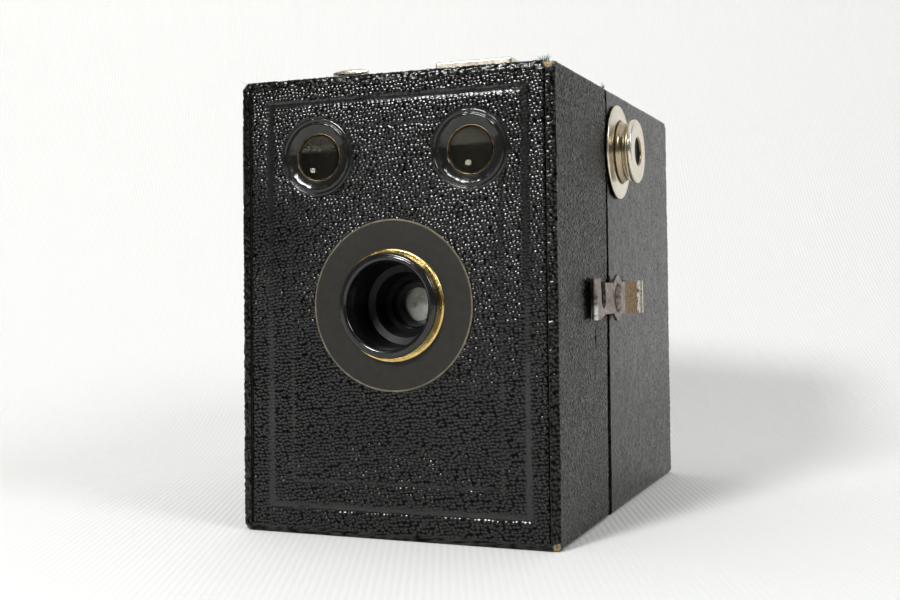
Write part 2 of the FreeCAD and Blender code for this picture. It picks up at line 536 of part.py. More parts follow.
def upright_finder():
    """Looks forward, and up through the top of the camera."""
    x = UPRIGHT_X
    half = HOUSING_HALF
    low = FINDER_Z - half - 1.3
    outer = block(x - half, x + half, PANEL_BACK_Y, HOUSING_Y1, low, CAVITY_Z1 - 0.2)
    inner = block(x - half + HOUSING_T, x + half - HOUSING_T, PANEL_BACK_Y + HOUSING_T, HOUSING_Y1 - HOUSING_T,
                  low + HOUSING_T, CAVITY_Z1 + 1)
    keep("upright_finder_housing", outer.cut(inner).cut(rod_y(x, PANEL_BACK_Y - 1, PANEL_BACK_Y + 1, FINDER_Z, 6.2)))
    keep("upright_finder_lens", finder_lens(x))
    y0 = PANEL_BACK_Y + HOUSING_T + 0.8
    z0 = low + HOUSING_T + 0.1
    reach = HOUSING_Y1 - HOUSING_T - 0.2 - y0
    w = half - HOUSING_T - 0.1
    t = MIRROR_T / math.sqrt(2)
    keep("upright_finder_mirror", plate([(x - w, y0, z0), (x - w, y0 + reach - t, z0 + reach - t),
                                         (x - w, y0 + reach - 2 * t, z0 + reach), (x - w, y0 - t, z0 + t)],
                                        2 * w, (1, 0, 0)))
    screen = block(x - SCREEN_HALF, x + SCREEN_HALF, SCREEN_Y0, SCREEN_Y1, BODY_H - 1.4, BODY_H - 0.1)
    keep("upright_finder_screen", screen)
    frame = screen_frame(x - FRAME_HALF, x + FRAME_HALF, FRAME_Y0, FRAME_Y1, 2.1)
    frame.translate(V(0, 0, BODY_H))
    keep("upright_finder_frame", frame)


def sideways_finder():
    """Looks forward, and out through the side, for pictures taken with the camera on its side."""
    x = SIDEWAYS_X
    half = HOUSING_HALF
    z0 = FINDER_Z - half
    z1 = FINDER_Z + half
    outer = block(-CAVITY_X + 0.2, x + half, PANEL_BACK_Y, HOUSING_Y1, z0, z1)
    inner = block(-CAVITY_X - 1, x + half - HOUSING_T, PANEL_BACK_Y + HOUSING_T, HOUSING_Y1 - HOUSING_T,
                  z0 + HOUSING_T, z1 - HOUSING_T)
    keep("sideways_finder_housing", outer.cut(inner).cut(rod_y(x, PANEL_BACK_Y - 1, PANEL_BACK_Y + 1, FINDER_Z, 6.2)))
    keep("sideways_finder_lens", finder_lens(x))
    y0 = PANEL_BACK_Y + HOUSING_T + 0.8
    x0 = x + half - HOUSING_T - 0.1
    reach = HOUSING_Y1 - HOUSING_T - 0.2 - y0
    w = half - HOUSING_T - 0.1
    t = MIRROR_T / math.sqrt(2)
    keep("sideways_finder_mirror", plate([(x0, y0, FINDER_Z - w), (x0 - reach + t, y0 + reach - t, FINDER_Z - w),
                                          (x0 - reach, y0 + reach - 2 * t, FINDER_Z - w), (x0 - t, y0 - t, FINDER_Z - w)],
                                         2 * w, (0, 0, 1)))
    screen = block(-HALF_W + 0.1, -HALF_W + 1.4, SCREEN_Y0, SCREEN_Y1, FINDER_Z - SCREEN_HALF, FINDER_Z + SCREEN_HALF)
    keep("sideways_finder_screen", screen)
    frame = screen_frame(-FRAME_HALF, FRAME_HALF, FRAME_Y0, FRAME_Y1, 2.1)
    frame.rotate(V(0, 0, 0), V(0, 1, 0), -90)
    frame.translate(V(-HALF_W, 0, FINDER_Z))
    keep("sideways_finder_frame", frame)


# ---- inner works: light trap, bulkhead, cone and film carrier ---------------------------------
BULK_Y0 = -34.0
BULK_Y1 = -31.0
COLLAR_X = CAVITY_X - 1.1
COLLAR_Z0 = CAVITY_Z0 + 1.1
COLLAR_Z1 = CAVITY_Z1 - 1.1
CONE_Y = -39.6
CONE_W = 22.0
CONE_H = 28.0
SIDE_X0 = 33.3
SIDE_X1 = 33.9
SIDE_Z0 = 4.9
SIDE_Z1 = BODY_H - SIDE_Z0
ROLLER_Y = GATE_Y - 0.8
ROLLER_Z = 6.8
ROLLER_R = 2.3


def inner_works():
    slip = 0.3
    fixed = block(-CAVITY_X, CAVITY_X, BULK_Y0, SEAM_Y, CAVITY_Z0, CAVITY_Z1)
    tongue = block(-CAVITY_X + slip, CAVITY_X - slip, SEAM_Y, KEY_Y - 4.8, CAVITY_Z0 + slip, CAVITY_Z1 - slip)
    inside = block(-COLLAR_X, COLLAR_X, BULK_Y0 - 1, KEY_Y, COLLAR_Z0, COLLAR_Z1)
    keep("light_trap_collar", fixed.fuse(tongue).cut(inside))

    blocks = []
    screws = []
    bulkhead = block(-COLLAR_X, COLLAR_X, BULK_Y0, BULK_Y1, COLLAR_Z0, COLLAR_Z1)
    share = (BULK_Y1 - CONE_Y) / (GATE_Y - CONE_Y)
    hole_w = CONE_W / 2 + share * (GATE_W - CONE_W) / 2 + 1.6
    hole_h = CONE_H / 2 + share * (GATE_H - CONE_H) / 2 + 1.2
    bulkhead = bulkhead.cut(block(PANEL_X - hole_w, PANEL_X + hole_w, BULK_Y0 - 1, BULK_Y1 + 1,
                                  MID_Z - hole_h, MID_Z + hole_h))
    for sx in (-1, 1):
        for sz in (-1, 1):
            x = sx * (CAVITY_X - 4.6)
            z = MID_Z + sz * (CAVITY_Z1 - MID_Z - 3.6)
            blocks.append(block(x - 4.6, x + 4.6, -43.0, BULK_Y0, z - 3.6, z + 3.6))
            hole = rod_y(x, BULK_Y0 - 6, BULK_Y1 + 1, z, 1.0)
            bulkhead = bulkhead.cut(hole)
            blocks[-1] = blocks[-1].cut(hole)
            shank = rod_y(x, BULK_Y0 - 6, BULK_Y1, z, 1.0)
            head = turned([(BULK_Y1, 0), (BULK_Y1, 1.9), dome_end(BULK_Y1, 1.9, 1.0)], x, 0, z, (0, 1, 0))
            slot = block(x - 3, x + 3, BULK_Y1 + 0.5, BULK_Y1 + 2, z - 0.25, z + 0.25)
            screws.append(shank.fuse(head).cut(slot))
    keep("corner_blocks", *blocks)
    keep("bulkhead", bulkhead)
    keep("bulkhead_screws", *screws)
    light_cone()
    carrier()


def light_cone():
    """Four sheet panels that widen from the shutter to the film gate, touching along their edges."""
    w0 = CONE_W / 2
    w1 = GATE_W / 2
    h0 = CONE_H / 2
    h1 = GATE_H / 2
    sheet = 0.5
    panels = []
    for s in (-1, 1):
        lid = [(PANEL_X - w0, CONE_Y, MID_Z + s * h0), (PANEL_X + w0, CONE_Y, MID_Z + s * h0),
               (w1, GATE_Y, MID_Z + s * h1), (-w1, GATE_Y, MID_Z + s * h1)]
        wall = [(PANEL_X + s * w0, CONE_Y, MID_Z - h0), (PANEL_X + s * w0, CONE_Y, MID_Z + h0),
                (s * w1, GATE_Y, MID_Z + h1), (s * w1, GATE_Y, MID_Z - h1)]
        panels.append(plate(lid, sheet, (0, 0, s)))
        panels.append(plate(wall, sheet, (s, 0, 0)))
    keep("light_cone", *panels)


def carrier():
    """Side plates, film gate, guide rollers and the spool's bearings."""
    def side(x0, x1):
        wall = block(x0, x1, BULK_Y1, GATE_Y + 1.2, SIDE_Z0, SIDE_Z1)
        for z in (ROLLER_Z, BODY_H - ROLLER_Z):
            wall = wall.cut(rod_x(x0 - 1, x1 + 1, ROLLER_Y, z, 0.9))
        return rounded(wall, 2.5, lambda p: p.y > GATE_Y + 1.1 and abs(p.x - (x0 + x1) / 2) < 0.01)

    right = side(SIDE_X0, SIDE_X1)
    slot_r = 2.8
    right = right.cut(rod_x(SIDE_X0 - 1, SIDE_X1 + 1, KEY_Y, KEY_Z, slot_r))
    right = right.cut(block(SIDE_X0 - 1, SIDE_X1 + 1, KEY_Y, GATE_Y + 5, KEY_Z - slot_r, KEY_Z + slot_r))
    keep("side_plate_right", right)
    keep("side_plate_left", side(-SIDE_X1, -SIDE_X0))

    bar = 2.1
    gate = block(-SIDE_X0, SIDE_X0, GATE_Y, GATE_Y + 0.6, MID_Z - GATE_H / 2 - bar, MID_Z + GATE_H / 2 + bar)
    keep("film_gate", gate.cut(block(-GATE_W / 2, GATE_W / 2, GATE_Y - 1, GATE_Y + 2,
                                     MID_Z - GATE_H / 2, MID_Z + GATE_H / 2)))

    pins = []
    for name, z in (("roller_bottom", ROLLER_Z), ("roller_top", BODY_H - ROLLER_Z)):
        roller = rod_x(-32.6, 32.6, ROLLER_Y, z, ROLLER_R)
        keep(name, roller.cut(rod_x(-40, 40, ROLLER_Y, z, 1.0)))
        pins.append(rod_x(-SIDE_X1, SIDE_X1, ROLLER_Y, z, 0.9))
    keep("roller_pins", *pins)

    studs = [rod_x(-SIDE_X0, -29.6, KEY_Y, KEY_Z, 1.95)]
    for s in (-1, 1):
        stud = turned([(SIDE_X0 - 2.6, 0), (SIDE_X0 - 2.6, 1.2), (SIDE_X0 - 1.2, 2.0), (SIDE_X0, 2.0), (SIDE_X0, 0)],
                      0, KEY_Y, SUPPLY_Z, (1, 0, 0))
        studs.append(stud if s > 0 else stud.mirror(V(0, 0, 0), V(1, 0, 0)))
    keep("spool_pivots", *studs)

    springs = []
    for s in (-1, 1):
        z = KEY_Z if s > 0 else SUPPLY_Z
        near = KEY_Y - SPOOL_R - 0.9
        foot = block(-6, 6, BULK_Y1, BULK_Y1 + 0.4, z + 2 * s - 4, z + 2 * s + 4)
        leaf = plate([(-6, BULK_Y1, z + 2 * s - 4 * s), (-6, BULK_Y1 + 0.6, z + 2 * s - 4 * s),
                      (-6, near, z + 0.5 * s), (-6, near - 0.6, z + 0.5 * s)], 12, (1, 0, 0))
        tip = block(-6, 6, near - 0.4, near, min(z + 0.3 * s, z + 7 * s), max(z + 0.3 * s, z + 7 * s))
        springs.append(foot.fuse(leaf).fuse(tip))
    keep("spool_springs", *springs)


def take_up_spool():
    flange_x0 = 30.8
    flange_x1 = 31.5
    core = rod_x(-flange_x0, flange_x0, KEY_Y, KEY_Z, 3.9)
    core = core.cut(rod_x(-flange_x0 - 1, -29.0, KEY_Y, KEY_Z, 2.02))
    boss = rod_x(flange_x0, 33.0, KEY_Y, KEY_Z, 2.5)
    boss = boss.cut(block(flange_x1 + 0.1, 34.0, KEY_Y - 4, KEY_Y + 4, KEY_Z - 0.65, KEY_Z + 0.65))
    keep("spool_core", core.fuse(boss))
    left = rod_x(-flange_x1, -flange_x0, KEY_Y, KEY_Z, SPOOL_R).cut(rod_x(-40, 0, KEY_Y, KEY_Z, 2.02))
    right = rod_x(flange_x0, flange_x1, KEY_Y, KEY_Z, SPOOL_R).cut(rod_x(0, 40, KEY_Y, KEY_Z, 2.5))
    keep("spool_flanges", left, right)


# ---- build ----------------------------------------------------------------------------------
def main():
    rear_half()
    red_window()
    strap()
    winding_key()
    latch()
    front_half()
    lens_group()
    shutter()
    time_slide()
    upright_finder()
    sideways_finder()
    inner_works()
    take_up_spool()
    os.makedirs("parts", exist_ok=True)
    for old in os.listdir("parts"):
        os.remove(os.path.join("parts", old))
    for name in sorted(PARTS):
        shape = PARTS[name]
        good = shape.isValid() and all(s.isClosed() and s.Volume > 0 for s in shape.Solids)
        if not good or not shape.Solids:
            print("BAD SHAPE", name)
        shape.exportStep("parts/" + name + ".step")
    print(len(PARTS), "nodes")


main()
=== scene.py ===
import json
import math

import bmesh
import bpy
import numpy as np
from mathutils import Matrix, Vector


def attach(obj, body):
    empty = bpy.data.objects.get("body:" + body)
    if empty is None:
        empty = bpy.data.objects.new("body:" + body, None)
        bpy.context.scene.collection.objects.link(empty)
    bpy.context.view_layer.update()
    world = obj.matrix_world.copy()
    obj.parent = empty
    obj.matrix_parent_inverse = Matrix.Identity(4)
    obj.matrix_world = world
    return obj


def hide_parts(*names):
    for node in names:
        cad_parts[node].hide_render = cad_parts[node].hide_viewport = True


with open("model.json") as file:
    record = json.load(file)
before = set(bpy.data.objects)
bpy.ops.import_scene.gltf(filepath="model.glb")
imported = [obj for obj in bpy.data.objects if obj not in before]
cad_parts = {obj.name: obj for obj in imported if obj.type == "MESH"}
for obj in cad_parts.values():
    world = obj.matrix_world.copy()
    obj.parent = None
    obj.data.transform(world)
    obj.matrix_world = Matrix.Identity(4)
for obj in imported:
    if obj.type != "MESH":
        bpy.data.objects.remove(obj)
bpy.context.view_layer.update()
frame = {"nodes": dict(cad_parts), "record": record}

MM = 0.001
NODES = frame["nodes"]
scene = bpy.context.scene

# ---- dimensions of the covered box, in millimetres ---------------------------------------------
HALF_W = 39.0
HEIGHT = 106.5
FRONT_Y = -59.0
BACK_Y = 59.0
SEAM_TOP_Y = -15.7
SEAM_BASE_Y = -18.0
MOUTH_Y = -14.5
EDGE_R = 0.9
EDGE_IN = 1.6
EDGE_BACK = 0.5
PANEL_X = 0.0
GROOVE_X = 0.3
LENS_Z = 53.25
FINDER_Z = 88.0
FINDER_X = (PANEL_X - 19.05, PANEL_X + 19.05)
STRAP_Y = 24.0
KEY_Y = -4.6
KEY_Z = 91.4
GRAIN = 0.21
WINDOW = (17.0, 33.0)         # red window in the back, (x, z)
WINDOW_CUT = 7.2
STITCH_X = 3.3                # each line of stitches from the strap's middle
STRAP_ROWS = 260
LATCH_PIVOT = (-0.0116, 0.054)      # (y, z), metres
RIB_PITCH = 1.6
SHEET_TURN = 22.0             # degrees the sheet's ribs are turned


# ---- small helpers -------------------------------------------------------------------------------
def smooth(a, b, x):
    t = np.clip((x - a) / (b - a), 0.0, 1.0)
    return t * t * (3 - 2 * t)


def make(name, verts, faces, body, replaces=(), smooth_shade=True):
    """A mesh object from millimetre vertices, riding on a body."""
    mesh = bpy.data.meshes.new(name)
    v = np.asarray(verts, float) * MM
    mesh.from_pydata(v.tolist(), [], [list(map(int, f)) for f in faces])
    mesh.update()
    obj = bpy.data.objects.new(name, mesh)
    scene.collection.objects.link(obj)
    mesh.polygons.foreach_set("use_smooth", [smooth_shade] * len(mesh.polygons))
    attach(obj, body)
    if replaces:
        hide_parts(*replaces)
    return obj


def grid_faces(rows, cols, closed=False):
    """Quads of a rows x cols vertex grid; closed joins the last column to the first."""
    r = np.arange(rows - 1)[:, None]
    c = np.arange(cols if closed else cols - 1)[None, :]
    n = (c + 1) % cols
    a = r * cols + c
    b = r * cols + n
    d = (r + 1) * cols + c
    e = (r + 1) * cols + n
    return np.stack([a, b, e, d], -1).reshape(-1, 4)


def noise(x, y, seed, scale):
    """Smooth value noise in [-1, 1] at the given feature size."""
    table = np.random.default_rng(seed).uniform(-1, 1, (256, 256))
    u = np.asarray(x) / scale
    v = np.asarray(y) / scale
    i = np.floor(u).astype(int)
    j = np.floor(v).astype(int)
    fu = u - i
    fv = v - j
    fu = fu * fu * (3 - 2 * fu)
    fv = fv * fv * (3 - 2 * fv)
    at = lambda di, dj: table[(i + di) % 256, (j + dj) % 256]
    return ((at(0, 0) * (1 - fu) + at(1, 0) * fu) * (1 - fv) + (at(0, 1) * (1 - fu) + at(1, 1) * fu) * fv)


def pebbles(u, v, pitch, seed):
    """Height in [0, 1] of a pebbled grain: rounded cells parted by narrow valleys."""
    rng = np.random.default_rng(seed)
    size = 512
    jx = rng.uniform(0.14, 0.86, (size, size))
    jy = rng.uniform(0.14, 0.86, (size, size))
    tall = rng.uniform(0.72, 1.0, (size, size))
    a = (u + 0.35 * v) / pitch
    b = (v - 0.10 * u) / (pitch * 0.82)
    i = np.floor(a).astype(int)
    j = np.floor(b).astype(int)
    near = np.full(a.shape, 9.0)
    second = np.full(a.shape, 9.0)
    top = np.zeros(a.shape)
    for di in (-1, 0, 1):
        for dj in (-1, 0, 1):
            p = (i + di) % size
            q = (j + dj) % size
            d = np.hypot(i + di + jx[p, q] - a, j + dj + jy[p, q] - b)
            closer = d < near
            second = np.where(closer, near, np.minimum(second, d))
            top = np.where(closer, tall[p, q], top)
            near = np.where(closer, d, near)
    dome = 1 - 1.9 * np.clip(near, 0, 0.72) ** 2
    return dome * top * (0.35 + 0.65 * smooth(0.0, 0.30, second - near))


def hollows(grain):
    """How deep in a valley of the grain a place is, from 0 on the pebbles to 1; it masks the painted shade in
    the valleys.
    """
    return 1 - smooth(0.22, 0.62, grain)


# ---- materials -----------------------------------------------------------------------------------
class Mat:
    """A node material built up step by step."""

    def __init__(self, name):
        self.m = bpy.data.materials.new(name)
        self.m.use_nodes = True
        self.n = self.m.node_tree.nodes
        self.l = self.m.node_tree.links
        self.p = self.n["Principled BSDF"]
        self.coord = self.n.new("ShaderNodeTexCoord")

    def set(self, **values):
        for key, value in values.items():
            socket = self.p.inputs[key.replace("_", " ")]
            socket.default_value = (*value, 1.0) if isinstance(value, tuple) and len(value) == 3 else value
        return self

    def link(self, a, b):
        self.l.new(a, b)

    def mapped(self, scale=(1, 1, 1)):
        node = self.n.new("ShaderNodeMapping")
        node.inputs["Scale"].default_value = scale
        self.link(self.coord.outputs["Object"], node.inputs["Vector"])
        return node.outputs["Vector"]

    def noise(self, scale, detail=3.0, rough=0.55, stretch=None):
        node = self.n.new("ShaderNodeTexNoise")
        node.inputs["Scale"].default_value = scale
        node.inputs["Detail"].default_value = detail
        node.inputs["Roughness"].default_value = rough
        source = self.mapped(stretch) if stretch else self.coord.outputs["Object"]
        self.link(source, node.inputs["Vector"])
        return node.outputs["Fac"]

    def attribute(self, name):
        node = self.n.new("ShaderNodeAttribute")
        node.attribute_name = name
        return node.outputs["Fac"]

    def place(self, axis):
        node = self.n.new("ShaderNodeSeparateXYZ")
        self.link(self.coord.outputs["Object"], node.inputs["Vector"])
        return node.outputs[axis]

    def radius_x(self, y, z):
        """Distance from a line along X through (y, z), both in metres."""
        node = self.n.new("ShaderNodeVectorMath")
        node.operation = "DISTANCE"
        self.link(self.mapped((0, 1, 1)), node.inputs[0])
        node.inputs[1].default_value = (0, y, z)
        return node.outputs["Value"]

    def between(self, value, low, high):
        """0 below low, 1 above high; also falls where low is the larger."""
        node = self.n.new("ShaderNodeMapRange")
        self.link(value, node.inputs["Value"])
        node.inputs["From Min"].default_value = low
        node.inputs["From Max"].default_value = high
        return node.outputs["Result"]

    def ramp(self, fac, stops):
        node = self.n.new("ShaderNodeValToRGB")
        while len(node.color_ramp.elements) < len(stops):
            node.color_ramp.elements.new(0.5)
        for element, (at, colour) in zip(node.color_ramp.elements, stops):
            element.position = at
            element.color = (*colour, 1.0) if isinstance(colour, tuple) else (colour, colour, colour, 1.0)
        self.link(fac, node.inputs["Fac"])
        return node.outputs["Color"]

    def mix(self, fac, a, b):
        node = self.n.new("ShaderNodeMix")
        node.data_type = "RGBA"
        for value, socket in ((fac, node.inputs["Factor"]), (a, node.inputs["A"]), (b, node.inputs["B"])):
            if isinstance(value, bpy.types.NodeSocket):
                self.link(value, socket)
            elif isinstance(value, tuple):
                socket.default_value = (*value, 1.0)
            else:
                socket.default_value = value
        return node.outputs["Result"]

    def math(self, op, a, b=0.0):
        node = self.n.new("ShaderNodeMath")
        node.operation = op
        for value, socket in ((a, node.inputs[0]), (b, node.inputs[1])):
            if isinstance(value, bpy.types.NodeSocket):
                self.link(value, socket)
            else:
                socket.default_value = value
        return node.outputs["Value"]

    def bump(self, height, distance, strength=1.0, under=None):
        node = self.n.new("ShaderNodeBump")
        node.inputs["Distance"].default_value = distance
        node.inputs["Strength"].default_value = strength
        self.link(height, node.inputs["Height"])
        if under is not None:
            self.link(under, node.inputs["Normal"])
        return node.outputs["Normal"]

    def colour(self, socket):
        self.link(socket, self.p.inputs["Base Color"])
        return self

    def rough(self, socket):
        self.link(socket, self.p.inputs["Roughness"])
        return self

    def normal(self, socket):
        self.link(socket, self.p.inputs["Normal"])
        return self


def leatherette(name, tint, rough_low, rough_high, grain, spec=0.52):
    """Pebbled black cloth-backed covering. The pebbles are in the mesh; this adds tone, pores and wear.

    Hollows are darkened through Base Color and Metallic with a black base: painted shade in the valleys of
    the grain.
    It is a device, not a property of the real covering.
    """
    m = Mat(name)
    tone = m.ramp(m.noise(90, 4), [(0.3, tuple(0.7 * c for c in tint)),
                                   (0.75, tuple(1.35 * c for c in tint))])
    # Painted shade: the valleys of the grain are taken towards black.
    hollow_shade = m.attribute("hollow_shade")
    tone = m.mix(hollow_shade, tone, (0.0012, 0.0012, 0.0012))
    board = m.ramp(m.noise(900, 5, 0.7), [(0.32, (0.10, 0.06, 0.025)), (0.45, (0.30, 0.20, 0.09)),
                                          (0.7, (0.50, 0.38, 0.19))])
    cloth = m.ramp(m.noise(2600, 3, 0.7, (1.0, 1.0, 0.3)),
                   [(0.35, (0.006, 0.02, 0.022)), (0.7, (0.05, 0.12, 0.12))])
    wear = m.attribute("wear")
    ragged = m.math("ADD", wear, m.math("MULTIPLY", m.math("SUBTRACT", m.noise(1500, 3), 0.5), 0.35))
    fringe = m.ramp(ragged, [(0.30, 0.0), (0.42, 1.0)])
    bare = m.ramp(ragged, [(0.56, 0.0), (0.64, 1.0)])
    m.colour(m.mix(bare, m.mix(fringe, tone, cloth), board))
    gloss = m.ramp(m.noise(420, 4, 0.6), [(0.3, rough_low), (0.8, rough_high)])
    m.rough(m.mix(fringe, gloss, (0.9, 0.9, 0.9)))
    pores = m.bump(m.noise(3400, 4, 0.65), 0.00003, grain)
    m.normal(m.bump(m.noise(1300, 2, 0.5), 0.00005, grain, pores))
    # Painted shade: Metallic over the black base darkens the reflection in the valleys.
    m.link(m.math("MULTIPLY", hollow_shade, 0.9), m.p.inputs["Metallic"])
    m.set(Specular_IOR_Level=spec)
    return m.m


def metal(name, light, dark, rough_low, rough_high, scale=260, bump=0.000012, stain=None):
    """Worn plated or turned metal with fine scratches, clouding and an optional stain."""
    m = Mat(name)
    cloud = m.noise(scale, 5, 0.6)
    tone = m.ramp(cloud, [(0.32, dark), (0.62, light)])
    if stain:
        spots = m.ramp(m.noise(scale * 3.1, 5, 0.7), [(0.60, 0.0), (0.74, 1.0)])
        tone = m.mix(spots, tone, stain)
        tone = m.mix(m.attribute("tarnish"), tone, (0.30, 0.215, 0.11))
    m.colour(tone)
    scratch = m.noise(900, 3, 0.7, (1.0, 6.0, 0.6))
    m.rough(m.ramp(m.math("MULTIPLY", m.math("ADD", cloud, scratch), 0.5),
                   [(0.35, rough_low), (0.65, rough_high)]))
    m.normal(m.bump(scratch, bump, 0.6))
    m.set(Metallic=1.0)
    return m.m


def paint(name, low, high, rough_low, rough_high, scale=300, bump=0.00001, coat=0.0, spec=0.5):
    """Paint, paper or plastic: a slightly uneven colour and sheen over a fine texture."""
    m = Mat(name)
    m.colour(m.ramp(m.noise(scale, 5, 0.6), [(0.3, low), (0.7, high)]))
    m.rough(m.ramp(m.noise(scale * 2.3, 4), [(0.3, rough_low), (0.7, rough_high)]))
    m.normal(m.bump(m.noise(scale * 8, 3), bump, 0.6))
    m.set(Specular_IOR_Level=spec)
    if coat:
        m.set(Coat_Weight=coat, Coat_Roughness=0.08)
    return m.m


def enamel(name):
    """Glossy black stoving enamel; inside the barrel it is dulled, and darkened through Metallic as painted
    shade.
    """
    m = Mat(name)
    deep = m.between(m.place("Y"), -0.0604, -0.0578)
    m.colour(m.ramp(m.noise(500, 5, 0.6), [(0.3, (0.004, 0.004, 0.004)), (0.7, (0.008, 0.008, 0.008))]))
    m.rough(m.mix(deep, m.ramp(m.noise(1100, 4), [(0.3, 0.10), (0.7, 0.2)]), (0.42, 0.42, 0.42)))
    # Painted shade inside the barrel: Metallic over the black base darkens its reflection.
    m.link(m.math("MULTIPLY", deep, 0.72), m.p.inputs["Metallic"])
    m.set(Specular_IOR_Level=0.55)
    m.normal(m.bump(m.noise(4000, 3), 0.000006, 0.6))
    return m.m


def glass(name, tint, rough):
    m = Mat(name)
    m.set(Transmission_Weight=1.0, IOR=1.5)
    dust = m.noise(700, 5, 0.7)
    m.colour(m.ramp(dust, [(0.35, tint), (0.75, tuple(0.9 * c for c in tint))]))
    m.rough(m.ramp(dust, [(0.45, rough), (0.8, rough + 0.06)]))
    return m.m


def wood(name):
    m = Mat(name)
    rings = m.noise(160, 5, 0.65, (6.0, 1.0, 1.0))
    m.colour(m.ramp(rings, [(0.3, (0.16, 0.09, 0.04)), (0.55, (0.36, 0.22, 0.11)),
                            (0.75, (0.46, 0.3, 0.16))]))
    m.set(Roughness=0.7)
    m.normal(m.bump(m.noise(1200, 3, 0.6, (5.0, 1.0, 1.0)), 0.00004, 0.6))
    return m.m


def rusty_latch(name):
    """Nickel gone pinkish brown, rust on the tail, a dark ring round the rivet, and near-white metal on the
    rubbed tips, partly their bright plating and partly a painted highlight.
    """
    m = Mat(name)
    y = m.place("Y")
    z = m.place("Z")
    cloud = m.noise(520, 5, 0.65)
    patches = m.noise(1500, 4, 0.7)
    wobble = m.math("ADD", y, m.math("MULTIPLY", m.math("SUBTRACT", cloud, 0.5), 0.006))
    tone = m.ramp(m.math("ADD", m.math("MULTIPLY", cloud, 0.6), m.math("MULTIPLY", patches, 0.4)),
                  [(0.38, (0.075, 0.055, 0.045)), (0.5, (0.21, 0.165, 0.14)), (0.6, (0.42, 0.35, 0.31))])
    tail = m.between(wobble, -0.0045, -0.0030)
    rust = m.ramp(patches, [(0.38, (0.07, 0.04, 0.016)), (0.5, (0.19, 0.115, 0.048)),
                            (0.62, (0.34, 0.25, 0.13))])
    tone = m.mix(tail, tone, rust)
    # Near-white on the two tips: partly the plating's own bright colour, partly a painted highlight.
    ends = m.math("MAXIMUM", m.between(wobble, 0.0092, 0.0100),
                  m.math("MULTIPLY", m.between(wobble, -0.0312, -0.0326), m.between(z, 0.0530, 0.0518)))
    ends = m.math("MULTIPLY", ends, m.ramp(patches, [(0.34, 0.0), (0.46, 1.0)]))
    tone = m.mix(ends, tone, (0.86, 0.83, 0.76))
    # A dark, dull ring round the rivet.
    ring = m.radius_x(*LATCH_PIVOT)
    dark_ring = m.math("MULTIPLY", m.between(ring, 0.0026, 0.0031), m.between(ring, 0.0041, 0.0033))
    m.colour(m.mix(dark_ring, tone, (0.012, 0.008, 0.006)))
    dull = m.math("MAXIMUM", m.math("MULTIPLY", tail, m.math("SUBTRACT", 1.0, ends)), dark_ring)
    m.rough(m.mix(dull, m.ramp(cloud, [(0.3, 0.24), (0.7, 0.42)]), (0.7, 0.7, 0.7)))
    m.link(m.math("SUBTRACT", 1.0, m.math("MULTIPLY", dull, 0.8)), m.p.inputs["Metallic"])
    pits = m.bump(patches, 0.00022, 0.8)
    m.normal(m.bump(m.noise(420, 3), 0.0004, 0.6, pits))
    return m.m


